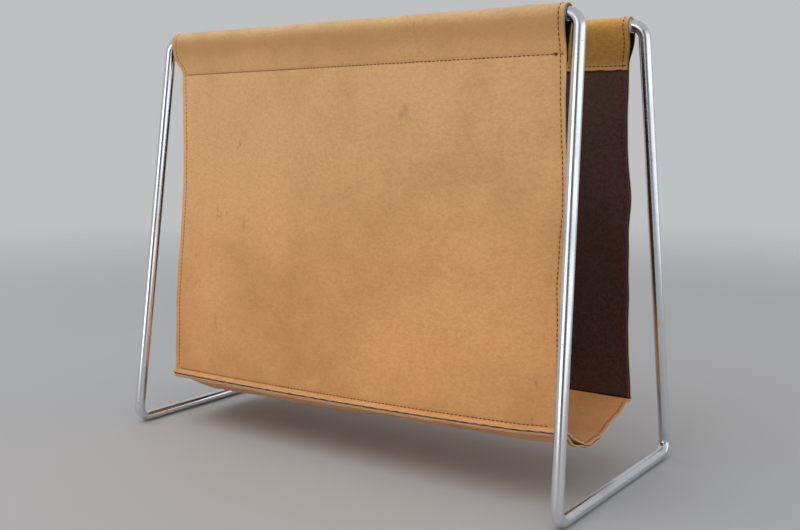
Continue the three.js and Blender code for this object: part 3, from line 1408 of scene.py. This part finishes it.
@dataclass
class EndFrame:
    """One end of the rack, bent from a single bar: prong, leg, foot rail, leg and prong."""

    end: End
    finish: bpy.types.Material
    radius: float = 5 * MM
    bend_radius: float = 11 * MM
    prong: float = 71 * MM
    lean: float = math.radians(2.04)
    top_x: float = 220 * MM
    tube_y: float = 59 * MM
    tube_z: float = 377 * MM
    foot_y: float = 105.8 * MM
    sides: int = 48
    bend_steps: int = 20
    run_spacing: float = 6 * MM
    flattening: float = 0.035
    chamfer: float = 0.7 * MM
    grain_shift: float = 0.2

    def corners(self) -> np.ndarray:
        """Places the corners of the bar's centre line, before bending.

        Returns:
            The corners, from one prong's tip to the other's.
        """
        foot_x = self.top_x + math.tan(self.lean) * (self.tube_z - self.radius)
        half = [
            (self.top_x - self.prong, -self.tube_y, self.tube_z),
            (self.top_x, -self.tube_y, self.tube_z),
            (foot_x, -self.foot_y, self.radius),
        ]
        mirrored = [(x, -y, z) for x, y, z in reversed(half)]
        return np.array(half + mirrored) * np.array([self.end.value, 1, 1])

    def centre_line(self) -> tuple[np.ndarray, np.ndarray, np.ndarray]:
        """Follows the straight runs and the round bends.

        Returns:
            Points, unit headings, and how far into a bend each point is, from 0 to 1.
        """
        corners = self.corners()
        points, headings, bends = [corners[0]], [unit(corners[1] - corners[0])], [0.0]

        def run_to(target: np.ndarray) -> None:
            """Adds points along a straight run.

            Args:
                target: Where the run ends.
            """
            start = points[-1]
            steps = max(1, round(float(np.linalg.norm(target - start)) / self.run_spacing))
            for k in range(1, steps + 1):
                points.append(blend(start, target, k / steps))
                headings.append(headings[-1])
                bends.append(0.0)

        for k in range(1, len(corners) - 1):
            before = unit(corners[k] - corners[k - 1])
            after = unit(corners[k + 1] - corners[k])
            turn = math.acos(float(np.clip(before @ after, -1, 1)))
            inward = unit(after - before * float(after @ before))
            start = corners[k] - before * self.bend_radius * math.tan(turn / 2)
            run_to(start)
            for step in range(1, self.bend_steps + 1):
                angle = turn * step / self.bend_steps
                offset = before * math.sin(angle) + inward * (1 - math.cos(angle))
                points.append(start + self.bend_radius * offset)
                headings.append(before * math.cos(angle) + inward * math.sin(angle))
                bends.append(math.sin(math.pi * step / self.bend_steps))
        run_to(corners[-1])
        return np.array(points), np.array(headings), np.array(bends)

    def build(self) -> bpy.types.Object:
        """Sweeps the round bar along its centre line, a little oval in its bends.

        Returns:
            The dressed bar.
        """
        points, headings, bends = self.centre_line()
        normals = carried_normals(headings, np.array([0.0, 0.0, 1.0]))
        others = np.cross(headings, normals)
        angle = even_angles(self.sides)
        pull = unit(np.gradient(headings, axis=0))
        rings = []
        for k in range(len(points)):
            ring = np.cos(angle)[:, None] * normals[k] + np.sin(angle)[:, None] * others[k]
            squeeze = self.flattening * bends[k] * (ring @ pull[k])[:, None] * pull[k]
            rings.append(points[k] + self.radius * (ring - squeeze))
        tips = []
        for k, inward in ((0, headings[0]), (-1, -headings[-1])):
            ring = np.cos(angle)[:, None] * normals[k] + np.sin(angle)[:, None] * others[k]
            tips.append(points[k] + (self.radius - self.chamfer) * ring)
            tips.append(points[k] + self.chamfer * inward + self.radius * ring)
        rings = [tips[0], tips[1], *rings[1:-1], tips[3], tips[2]]
        name = f"{self.end.name.lower()}_bent_bar"
        piece = add_mesh(name, np.vstack(rings), ring_faces(len(rings), self.sides))
        run = run_lengths(points)
        run = np.concatenate([run[:1], run[:1], run[1:-1], run[-1:], run[-1:]])
        flat = np.zeros((len(rings), self.sides, 3))
        flat[:, :, 0] = self.radius * np.cos(angle)
        flat[:, :, 1] = run[:, None]
        flat[:, :, 2] = self.radius * np.sin(angle) + self.grain_shift * self.end.value
        set_attribute(piece, "flat", flat.reshape(-1, 3))
        body = Body.LEFT_FRAME if self.end is End.LEFT else Body.RIGHT_FRAME
        return dress(piece, self.finish, body, [f"{self.end.name.lower()}_end_frame"])


@dataclass
class TopTube:
    """A thin-walled tube that the prongs plug into at both ends."""

    side: Side
    finish: bpy.types.Material
    wall: float = 0.6 * MM
    deburr: float = 0.18 * MM
    sides: int = 56
    spacing: float = 8 * MM
    grain_shift: float = 0.5

    def build(self) -> bpy.types.Object:
        """Turns the wall's section round the tube's axis.

        Returns:
            The dressed tube.
        """
        node = f"{self.side.name.lower()}_top_tube"
        low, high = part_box(node)
        radius, half = (high.z - low.z) / 2, (high.x - low.x) / 2
        centre = (low + high) / 2
        bore = radius - self.wall
        count = math.ceil(2 * half / self.spacing)
        run = np.linspace(-half + self.deburr, half - self.deburr, count)
        section = [(x, radius) for x in run]
        section += [(half, radius - self.deburr), (half, bore + self.deburr)]
        section += [(x, bore) for x in run[::-1]]
        section += [(-half, bore + self.deburr), (-half, radius - self.deburr)]
        angle = even_angles(self.sides)
        shift = self.grain_shift * self.side.value
        rings, flat = [], []
        for x, r in section:
            around = np.stack([np.full(self.sides, x), r * np.cos(angle), r * np.sin(angle)], 1)
            rings.append(around + np.array(centre))
            flat.append(np.stack([around[:, 1], around[:, 0], around[:, 2] + shift], 1))
        faces = ring_faces(len(rings), self.sides, closed=True)
        piece = add_mesh(f"{self.side.name.lower()}_tube", np.vstack(rings), faces)
        set_attribute(piece, "flat", np.vstack(flat))
        return dress(piece, self.finish, Body.SLING, [node])


@dataclass
class Sling:
    """The stitched leather sling: two panels with sleeves, their linings and a double bottom."""

    suede: bpy.types.Material
    bottom_suede: bpy.types.Material
    lining: bpy.types.Material
    thread: bpy.types.Material
    drape: Drape = Drape()
    tube_radius: float = 6 * MM
    tube_y: float = 59 * MM
    tube_z: float = 377 * MM
    gap: float = 0.3 * MM
    leather: float = 1.3 * MM
    lining_thickness: float = 1.0 * MM
    lip: float = 4.6 * MM
    under_lip: float = 1.1 * MM
    lip_fray: float = 0.4 * MM
    lip_angle: float = math.radians(-40)
    flap_edge_z: float = 341.5 * MM
    bottom_fold: float = 0.35
    seam_inset: float = 5 * MM
    end_inset: float = 3.4 * MM
    sleeve_seam_z: float = 345.2 * MM
    front_climb: float = 3.0 * MM
    bottom_row: float = 5.2 * MM
    panel_trim: float = 0.0
    lining_trim: float = 1 * MM
    inner_trim: float = 0.5 * MM
    outer_trim: float = 1.5 * MM
    panel_top: float = 365 * MM
    sleeve_run: float = 292 * MM
    coarse: float = 3.2 * MM
    fine: float = 0.9 * MM
    point_spacing: float = 0.5 * MM
    corner_radius: float = 2.2 * MM
    row_reach: float = 3 * MM
    side_row_reach: float = 2.5 * MM
    arc_points: int = 29
    panel_points: int = 20
    sag_points: int = 24
    panel_start: float = 12 * MM
    row_points: int = 400
    side_points: int = 600
    end_points: int = 300
    corner_gap: float = 1.5 * MM
    sleeve_end_gap: float = 2 * MM
    side_start_gap: float = 2 * MM
    under_flap_gap: float = 9 * MM
    lip_gap: float = 5 * MM
    knot_place: float = 8.5 * MM
    knot_height: float = 0.6 * MM
    knot_size: float = 1.1 * MM
    fray_reach: float = 3.5 * MM
    fray_length: float = 16 * MM
    fray_seed: int = 60
    dimple: float = 0.35 * MM
    crease: float = 1.0 * MM
    # Painted shade on the sleeve's front: strongest a little below the roll's top, fading out at its
    # lit top.
    sleeve_shade_least: float = 0.45
    sleeve_shade_below: float = 19 * MM
    sleeve_shade_width: float = 10 * MM
    unshaded_top: Span = Span(-13, -3)
    sleeve_start: Span = Span(-0.5, 0.5)
    # Painted highlight along the top of the roll.
    roll_highlight_spot: Bump = Bump(-3, 5.5)
    turned_over: Span = Span(0, 12)
    flap_strip: Span = Span(-4.5, -2)
    droop: float = 2.2 * MM
    droop_along: Span = Span(185, 212)
    droop_across: Bump = Bump(-2, 16)
    front_droop: float = 3.1 * MM
    front_droop_along: Span = Span(150, 212)
    front_droop_across: Bump = Bump(-43, 12)
    row_wander: tuple[tuple[float, float], ...] = (
        (57, 3.0),
        (120, 2.7),
        (180, 5.2),
        (235, 2.7),
        (313, 4.0),
        (349, 5.0),
        (385, 5.4),
    )
    stitch: StitchStyle = StitchStyle()
    fine_stitch: StitchStyle = StitchStyle(radius=0.26 * MM, sink=0.2 * MM)

    def panel_point(self, z: float) -> np.ndarray:
        """Finds the inner face of a panel's outer leather.

        Args:
            z: The height.

        Returns:
            Outward distance and height.
        """
        rise = (z - self.drape.seam_z) / (self.tube_z - self.drape.seam_z)
        top = self.tube_y + self.tube_radius + self.gap
        return np.array([blend(self.drape.seam_y, top, rise), z])

    def flap_offset(self) -> float:
        """How far the flap lies inside the panel, with the lining between them."""
        return self.lining_thickness + 2 * self.gap

    def sleeve_line(self) -> list[np.ndarray]:
        """Draws the outline over the tube and down to the flap's cut edge on the inside.

        Returns:
            Points of the outline.
        """
        centre = np.array([self.tube_y, self.tube_z])
        radius = self.tube_radius + self.gap
        under = [self.panel_point(z) for z in (self.flap_edge_z, self.drape.flap_join_z)]
        edge, join = offset_line(np.array(under), -self.flap_offset())
        reach = join - centre
        distance = float(np.linalg.norm(reach))
        heading = math.atan2(reach[1], reach[0]) % (2 * math.pi)
        last = heading - math.acos(radius / distance)
        over = [polar(centre, angle, radius) for angle in np.linspace(0, last, self.arc_points)]
        return [*over, join, edge]

    def panel_line(self, top: float) -> list[np.ndarray]:
        """Draws the outline from the lip's tip up the straight panel.

        Args:
            top: Height at which it ends.

        Returns:
            Points of the outline.
        """
        seam = self.panel_point(self.drape.seam_z)
        heights = np.linspace(self.drape.seam_z + self.panel_start, top, self.panel_points)
        return [polar(seam, self.lip_angle, self.lip), seam, *(self.panel_point(z) for z in heights)]

    def bottom_line(self) -> list[np.ndarray]:
        """Draws the upper face of the bottom, from lip to lip through the sag in the middle.

        Returns:
            Points of the outline.
        """
        seam = self.panel_point(self.drape.seam_z)
        fold = polar(seam, self.lip_angle - math.pi / 2, self.flap_offset())
        full = math.hypot(1, self.bottom_fold) - self.bottom_fold
        half = []
        for part in np.linspace(0, 1, self.sag_points):
            fall = 1 - (math.hypot(part, self.bottom_fold) - self.bottom_fold) / full
            half.append(np.array([part * fold[0], fold[1] - self.drape.bottom_sag * fall]))
        half.append(polar(fold, self.lip_angle, self.lip + self.under_lip))
        mirrored = [point * np.array([-1, 1]) for point in reversed(half[1:])]
        return mirrored + half

    def lay(
        self,
        line: list[np.ndarray],
        near: float,
        far: float,
        side: int,
        trim: float,
        seed: int,
        seams: list[float],
    ) -> Sheet:
        """Cuts a sheet between two distances to the right of an outline and hangs it.

        Args:
            line: The outline.
            near: Distance of the near face.
            far: Distance of the far face.
            side: -1 for the front, 1 for the rear or for the bottom.
            trim: How much shorter than the sling the sheet is at each end.
            seed: Tells the hides apart.
            seams: Flat distances along the outline where stitches press the leather in.

        Returns:
            The hung sheet.
        """
        drawn = [offset_line(np.array(line), distance) for distance in (near, far)]
        inner, outer = softened(*drawn, self.point_spacing, self.corner_radius)
        run = run_lengths((inner + outer) / 2)
        close = [0, run[-1], *seams]
        along = stations(run[-1], self.coarse, self.fine, close, self.row_reach)
        nominal = 2 * (self.drape.half_length - trim)
        spots = [0, self.seam_inset, nominal - self.seam_inset, nominal]
        across = stations(nominal, self.coarse, self.fine, spots, self.side_row_reach)
        columns = 2 * across / nominal - 1
        faces = [
            self.drape.hang(along_line(along, run, face), side, columns, trim)
            for face in (inner, outer)
        ]
        sheet = Sheet(faces[0], faces[1], along, across, seed)
        self.fray_lips(sheet)
        return sheet

    def fray_lips(self, sheet: Sheet) -> None:
        """Makes the cuts along a sheet's first and last rows a little uneven.

        Args:
            sheet: The sheet, changed in place.
        """
        for distance, edge in ((sheet.along, 0), (sheet.along[-1] - sheet.along, -1)):
            share = 1 - smoothstep(distance, 0, self.fray_reach)
            behind = int(np.argmin(np.abs(distance - self.fray_reach)))
            seed = self.fray_seed + sheet.seed + edge
            for face in (sheet.near, sheet.far):
                away = unit(face[edge] - face[behind])
                x = face[edge, :, 0]
                waves = unevenness(seed, x, np.zeros(len(x)), self.fray_length)
                face += share[:, None, None] * (self.lip_fray * waves)[:, None] * away

    def press_seams(self, sheet: Sheet, rows: list[np.ndarray], columns: list[np.ndarray]) -> None:
        """Draws both faces of a sheet together along its rows of stitches.

        Args:
            sheet: The sheet, changed in place.
            rows: Flat distances of the lengthwise rows, for each of the sheet's own columns.
            columns: Flat distances of the rows beside its ends, for each of the sheet's own rows.
        """
        depth = np.zeros((len(sheet.along), len(sheet.across)))
        for row in rows:
            depth = np.maximum(depth, bell(sheet.along[:, None], row, self.crease))
        for column in columns:
            depth = np.maximum(depth, bell(sheet.across[None, :], column[:, None], self.crease))
        draw = unit(sheet.far - sheet.near) * (self.dimple * depth)[..., None]
        sheet.near += draw * 0.5
        sheet.far -= draw
        sheet.masks["seam"] = depth

    def run_to_height(self, sheet: Sheet, z: float, turned: bool) -> float:
        """Flat distance at which a sheet's middle column passes a height.

        Args:
            sheet: A hung panel.
            z: The height.
            turned: Looks on the flap, past the tube, instead of on the panel.

        Returns:
            Distance from the sheet's first row.
        """
        heights = sheet.far[:, len(sheet.across) // 2, 2]
        crest = int(np.argmax(heights))
        if turned:
            return float(np.interp(-z, -heights[crest:], sheet.along[crest:]))
        return float(np.interp(z, heights[:crest], sheet.along[:crest]))

    def sleeve_row(self, sheet: Sheet, side: Side, turned: bool, across: np.ndarray) -> np.ndarray:
        """Places the sleeve's row of stitches, which climbs a little along the front.

        Args:
            sheet: The panel.
            side: Its side of the rack.
            turned: Places the row on the flap instead of on the panel.
            across: Flat distances from the panel's left edge.

        Returns:
            Flat distances from the panel's first row.
        """
        level = self.run_to_height(sheet, self.sleeve_seam_z, turned)
        climb = self.front_climb if side is Side.FRONT else 0.0
        rise = climb * (across / sheet.across[-1] - 0.4)
        return level - rise if turned else level + rise

    def side_row(self, sheet: Sheet, side: Side, end: End, along: np.ndarray) -> np.ndarray:
        """Places a row of stitches beside one end of a panel; the right front one wanders.

        Args:
            sheet: The panel.
            side: Its side of the rack.
            end: The end that the row runs beside.
            along: Flat distances from the panel's first row.

        Returns:
            Flat distances from the panel's left edge.
        """
        if end is End.LEFT:
            return np.full(len(along), self.seam_inset)
        inset = np.full(len(along), self.seam_inset)
        if side is Side.FRONT:
            edge = sheet.far[:, -1, 2]
            crest = sheet.along[int(np.argmax(edge))]
            heights, insets = np.array(self.row_wander).T * MM
            wander = np.interp(np.interp(along, sheet.along, edge), heights, insets)
            inset = np.where(along < crest, wander, self.seam_inset)
        return sheet.across[-1] - inset

    def outer_panel(self, side: Side) -> Sheet:
        """Cuts the outer suede of one panel: lip, panel, sleeve round the tube, and flap.

        Args:
            side: Its side of the rack.

        Returns:
            The hung sheet.
        """
        line = [*self.panel_line(self.panel_top), *self.sleeve_line()]
        seams = [self.lip, self.sleeve_run]
        seed = 1 + side.value
        return self.lay(line, 0, self.leather, side.value, self.panel_trim, seed, seams)

    def lining_panel(self, side: Side) -> Sheet:
        """Cuts the smooth dark lining of one panel, tucked under the flap.

        Args:
            side: Its side of the rack.

        Returns:
            The hung sheet.
        """
        line = self.panel_line(self.drape.flap_join_z)
        near, far = -self.gap - self.lining_thickness, -self.gap
        seed = 5 + side.value
        return self.lay(line, near, far, side.value, self.lining_trim, seed, [self.lip])

    def bottom_sheet(self, depth: float, trim: float, seed: int) -> Sheet:
        """Cuts one of the bottom's two sheets.

        Args:
            depth: How far its upper face lies below the upper sheet's.
            trim: How much shorter than the sling it is at each end.
            seed: Tells the hides apart.

        Returns:
            The hung sheet.
        """
        return self.lay(self.bottom_line(), depth, depth + self.leather, 1, trim, seed, [self.lip])

    def mark_painted_light_and_flap(self, outer: Sheet, sleeve_row: np.ndarray) -> None:
        """Marks a panel's painted shade on the sleeve, its painted highlight on top of the roll, the
        flap turned over to the inside, and its painted near-black inside face.

        Args:
            outer: The panel, changed in place.
            sleeve_row: Flat distance of the sleeve's stitches in each column.
        """
        crest = outer.along[int(np.argmax(outer.far[:, len(outer.across) // 2, 2]))]
        past_crest, past_cut = outer.along - crest, outer.along - outer.along[-1]
        # Painted shade on the front of the sleeve, fading out at the lit top of the roll.
        sleeve = self.sleeve_start.share(outer.along[:, None] - sleeve_row)
        below = bell(past_crest, -self.sleeve_shade_below, self.sleeve_shade_width)
        shade = self.sleeve_shade_least + (1 - self.sleeve_shade_least) * below
        shade = shade * (1 - self.unshaded_top.share(past_crest))
        # The turned-over flap, partly its own olive colour and partly painted shade; its cut strip
        # stays paler.
        turned = self.turned_over.share(past_crest) * (1 - 0.7 * self.flap_strip.share(past_cut))
        across = np.ones(len(outer.across))
        # Painted shade: the inside face, round the tube and under the lining, goes near black.
        outer.painted_dark_inside = True
        outer.masks["sleeve_shade"] = sleeve * shade[:, None]
        # Painted highlight along the top of the roll.
        outer.masks["roll_highlight"] = np.outer(self.roll_highlight_spot.share(past_crest), across)
        outer.masks["turned"] = np.outer(turned, across)

    def hang_sheet(
        self, sheet: Sheet, name: str, finish: bpy.types.Material, node: str
    ) -> None:
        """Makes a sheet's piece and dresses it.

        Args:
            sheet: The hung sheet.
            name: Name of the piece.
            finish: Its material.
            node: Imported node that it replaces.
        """
        piece = sheet.build(name)
        dress(piece, finish, Body.SLING, [node])

    def build_panel(self, side: Side) -> None:
        """Makes one panel with its lining and its rows of stitches.

        Args:
            side: Its side of the rack.
        """
        place = side.name.lower()
        outer, inner = self.outer_panel(side), self.lining_panel(side)
        sleeve_row = self.sleeve_row(outer, side, False, outer.across)
        flap_row = self.sleeve_row(outer, side, True, outer.across)
        lip_row = np.full(len(outer.across), self.bottom_row)
        side_rows = [self.side_row(outer, side, end, outer.along) for end in End]
        self.press_seams(outer, [lip_row, sleeve_row, flap_row], side_rows)
        self.mark_painted_light_and_flap(outer, sleeve_row)

        suede, lining = f"{place}_panel_suede", f"{place}_panel_lining"
        node = f"{place}_outer_panel"
        self.hang_sheet(outer, suede, self.suede, node)
        self.hang_sheet(inner, lining, self.lining, f"{place}_lining")
        self.sew_lengthwise(side, outer, inner)
        for end in End:
            self.sew_side(side, end, outer, inner)

    def sew_lengthwise(self, side: Side, outer: Sheet, inner: Sheet) -> None:
        """Sews a panel's sleeve and its lower edge.

        Args:
            side: Its side of the rack.
            outer: The panel's suede.
            inner: The panel's lining.
        """
        place = side.name.lower()
        left, right = self.seam_inset + self.corner_gap, outer.across[-1]
        across = np.linspace(left, right - self.sleeve_end_gap, self.row_points)
        row = StitchRow(self.stitch, 40 + side.value)
        for turned in (False, True):
            along = self.sleeve_row(outer, side, turned, across)
            row.follow(*outer.place(along, across, Face.FAR))
        if side is Side.FRONT:
            self.tie_off(row, outer)
        self.sew(row, f"{place}_sleeve_stitches", f"{place}_sleeve_seam")

        across = np.linspace(left, right - left, self.row_points)
        along = np.full(len(across), self.bottom_row)
        row = StitchRow(self.stitch, 50 + side.value)
        row.follow(*outer.place(along, across, Face.FAR))
        row.follow(*inner.place(along, across - self.lining_trim, Face.NEAR))
        self.sew(row, f"{place}_bottom_stitches", f"{place}_bottom_seam")

    def sew_side(self, side: Side, end: End, outer: Sheet, inner: Sheet) -> None:
        """Sews a panel to its lining beside one cut end.

        Args:
            side: Its side of the rack.
            end: The end that the row runs beside.
            outer: The panel's suede.
            inner: The panel's lining.
        """
        start = self.bottom_row + self.side_start_gap
        along = np.linspace(start, outer.along[-1] - self.corner_gap, self.side_points)
        inner_end = inner.along[-1] - self.under_flap_gap
        inner_along = np.linspace(start, inner_end, self.side_points)
        inner_across = self.seam_inset - self.lining_trim
        style = self.fine_stitch
        if end is End.RIGHT:
            inner_across = inner.across[-1] - inner_across
            style = self.stitch
        row = StitchRow(style, 60 + 3 * side.value + end.value)
        row.follow(*outer.place(along, self.side_row(outer, side, end, along), Face.FAR))
        row.follow(*inner.place(inner_along, np.full(len(along), inner_across), Face.NEAR))
        name = f"{side.name.lower()}_{end.name.lower()}_side"
        self.sew(row, f"{name}_stitches", f"{name}_seam")

    def tie_off(self, row: StitchRow, sheet: Sheet) -> None:
        """Ties a knot in the front sleeve row, near its right end.

        Args:
            row: The row of stitches.
            sheet: The front panel.
        """
        spots = sheet.across[-1] - self.knot_place + np.array([0, 1]) * MM
        along = self.sleeve_row(sheet, Side.FRONT, False, spots)
        points, normals = sheet.place(along, spots, Face.FAR)
        heading = unit(points[1] - points[0])
        centre = points[0] + self.knot_height * normals[0]
        row.add_knot(centre, heading, normals[0], self.knot_size)

    def build_bottom(self) -> None:
        """Makes the two bottom sheets and the rows of stitches across their ends."""
        inner = self.bottom_sheet(0, self.inner_trim, 11)
        outer = self.bottom_sheet(self.leather + self.gap, self.outer_trim, 13)
        self.part_sheets(outer)
        rows = [self.end_inset, inner.across[-1] - self.end_inset]
        self.press_seams(inner, [], [np.full(len(inner.along), row) for row in rows])
        for sheet, layer in ((inner, "inner"), (outer, "outer")):
            name, node = f"bottom_{layer}_suede", f"bottom_{layer}_sheet"
            self.hang_sheet(sheet, name, self.bottom_suede, node)

        under = self.end_inset - self.outer_trim + self.inner_trim
        under_rows = [under, outer.across[-1] - under]
        margin = self.lip + self.lip_gap
        along = np.linspace(margin, inner.along[-1] - margin, self.end_points)
        for end, across, low in zip(End, rows, under_rows, strict=True):
            row = StitchRow(self.stitch, 80 + end.value)
            row.follow(*inner.place(along, np.full(len(along), across), Face.NEAR))
            row.follow(*outer.place(along, np.full(len(along), low), Face.FAR))
            self.sew(row, f"bottom_{end.name.lower()}_stitches", f"{end.name.lower()}_end_seam")

    def part_sheets(self, sheet: Sheet) -> None:
        """Lets the outer bottom sheet droop away from the inner one at the right end.

        Args:
            sheet: The outer bottom sheet, changed in place.
        """
        x, y = sheet.near[..., 0], sheet.near[..., 1]
        droop = self.droop * self.droop_along.share(x) * self.droop_across.share(y)
        front = self.front_droop * self.front_droop_along.share(x)
        droop += front * self.front_droop_across.share(y)
        for face in (sheet.near, sheet.far):
            face[..., 2] -= droop

    def sew(self, row: StitchRow, name: str, node: str) -> None:
        """Makes a row of stitches and dresses it in thread."""
        dress(row.build(name), self.thread, Body.SLING, [node])

    def build(self) -> None:
        """Makes the whole sling."""
        for side in Side:
            self.build_panel(side)
        self.build_bottom()


@dataclass(frozen=True)
class Glow:
    """A brighter or darker part of the soft surroundings, turned in degrees from the camera's side."""

    turn: float
    inner: float
    outer: float
    colour: Colour


@dataclass
class Studio:
    """Pale floor, soft light and the camera."""

    lens: float = 44.74
    azimuth: float = 36.19
    elevation: float = 7.905
    roll: float = -0.07
    distance: float = 0.90
    aim: tuple[float, float, float] = (0.0247, -0.0137, 0.1706)
    floor_size: float = 14.0
    backdrop: Colour = (0.52, 0.525, 0.535)
    walls: Colour = (0.48, 0.48, 0.49)
    ceiling: Colour = (0.50, 0.51, 0.53)
    glows: tuple[Glow, ...] = (
        Glow(-7, 9, 17, (0.08, 0.075, 0.08)),
        Glow(-48, 12, 20, (2.0, 2.0, 2.0)),
        Glow(58, 36, 46, (1.25, 1.32, 1.42)),
    )
    ceiling_start: float = 0.22
    ceiling_end: float = 0.6
    lamp_place: tuple[float, float, float] = (-0.5, -0.9, 2.4)
    lamp_aim: tuple[float, float, float] = (0, 0, 0.18)
    lamp_size: tuple[float, float] = (2.8, 2.4)
    lamp_power: float = 31
    lamp_tint: Colour = (1.0, 0.99, 0.97)

    def build_floor(self) -> None:
        """Lays a plain pale floor."""
        half = self.floor_size / 2
        corners = [(-half, -half, 0), (half, -half, 0), (half, half, 0), (-half, half, 0)]
        floor = add_mesh("studio_floor", np.array(corners, float), [(0, 1, 2, 3)])
        floor.data.materials.append(StudioFinish("pale_floor").build())

    def build_world(self) -> None:
        """Sets the soft light that comes from all round, and a plain backdrop behind the rack."""
        world = bpy.data.worlds.new("studio")
        world.use_nodes = True
        bpy.context.scene.world = world
        board = NodeBoard(world.node_tree)
        world.node_tree.nodes.clear()
        heading = board.add("ShaderNodeTexCoord").outputs["Generated"]
        split = board.add("ShaderNodeSeparateXYZ")
        board.feed(split.inputs[0], heading)
        level = board.remap(split.outputs[2], self.ceiling_start, self.ceiling_end)
        round_about = board.add("ShaderNodeVectorMath", operation="NORMALIZE")
        board.feed(round_about.inputs[0], board.stretched(heading, (1.0, 1.0, 0.0)))
        lit: Source = self.walls
        for glow in self.glows:
            towards = math.radians(self.azimuth + glow.turn)
            facing = board.add("ShaderNodeVectorMath", operation="DOT_PRODUCT")
            board.feed(facing.inputs[0], round_about.outputs[0])
            board.feed(facing.inputs[1], (math.sin(towards), -math.cos(towards), 0.0))
            inner, outer = (math.cos(math.radians(turn)) for turn in (glow.inner, glow.outer))
            share = board.remap(facing.outputs["Value"], outer, inner)
            lit = board.mix(share, lit, glow.colour)
        lit = board.mix(level, lit, self.ceiling)
        seen = board.mix(board.add("ShaderNodeLightPath").outputs["Is Camera Ray"], lit, self.backdrop)
        background = board.add("ShaderNodeBackground")
        board.feed(background.inputs["Color"], seen)
        output = board.add("ShaderNodeOutputWorld")
        board.feed(output.inputs["Surface"], background.outputs[0])

    def build_light(self) -> None:
        """Hangs a large area light over the rack and turns it towards the rack."""
        lamp = bpy.data.lights.new("ceiling_light", "AREA")
        lamp.shape = "RECTANGLE"
        lamp.size, lamp.size_y = self.lamp_size
        lamp.energy = self.lamp_power
        lamp.color = self.lamp_tint
        light = bpy.data.objects.new("ceiling_light", lamp)
        light.location = self.lamp_place
        towards = Vector(self.lamp_aim) - Vector(self.lamp_place)
        light.rotation_euler = towards.to_track_quat("-Z", "Y").to_euler()
        light.visible_camera = False
        light.visible_glossy = False
        bpy.context.scene.collection.objects.link(light)

    def build_camera(self) -> None:
        """Stands the camera at its angle, level but for a slight roll."""
        azimuth, elevation = math.radians(self.azimuth), math.radians(self.elevation)
        level = Vector((math.sin(azimuth), -math.cos(azimuth), 0)) * math.cos(elevation)
        back = level + Vector((0, 0, math.sin(elevation)))
        data = bpy.data.cameras.new("camera")
        data.lens = self.lens
        camera = bpy.data.objects.new("camera", data)
        camera.location = Vector(self.aim) + back * self.distance
        turn = Euler((math.pi / 2 - elevation, 0, azimuth)).to_matrix()
        tilt = Euler((0, 0, math.radians(self.roll))).to_matrix()
        camera.rotation_euler = (turn @ tilt).to_euler()
        bpy.context.scene.collection.objects.link(camera)
        bpy.context.scene.camera = camera

    def build(self) -> None:
        """Makes everything round the rack."""
        self.build_floor()
        self.build_world()
        self.build_light()
        self.build_camera()
        bpy.context.scene.view_settings.view_transform = "Standard"


def main() -> None:
    """Builds the rack and the studio round it."""
    logging.basicConfig(level=logging.INFO, format="%(message)s")
    build_effects()
    Studio().build()
    bar = SteelFinish("bright_bar_steel").build()
    tube = SteelFinish(
        "tube_steel", light=(0.66, 0.67, 0.69), dull=(0.5, 0.5, 0.52), smooth=0.2, rough=0.36
    ).build()
    bottom = SuedeFinish("bottom_suede", low=(0.90, 0.38, 0.125), rise_start=1.0, rise_end=2.0)
    for end in End:
        EndFrame(end, bar).build()
    for side in Side:
        TopTube(side, tube).build()
    sling = Sling(
        suede=SuedeFinish("panel_suede").build(),
        bottom_suede=bottom.build(),
        lining=LiningFinish("lining_leather").build(),
        thread=ThreadFinish("sewing_thread").build(),
    )
    sling.build()


if __name__ == "__main__":
    main()
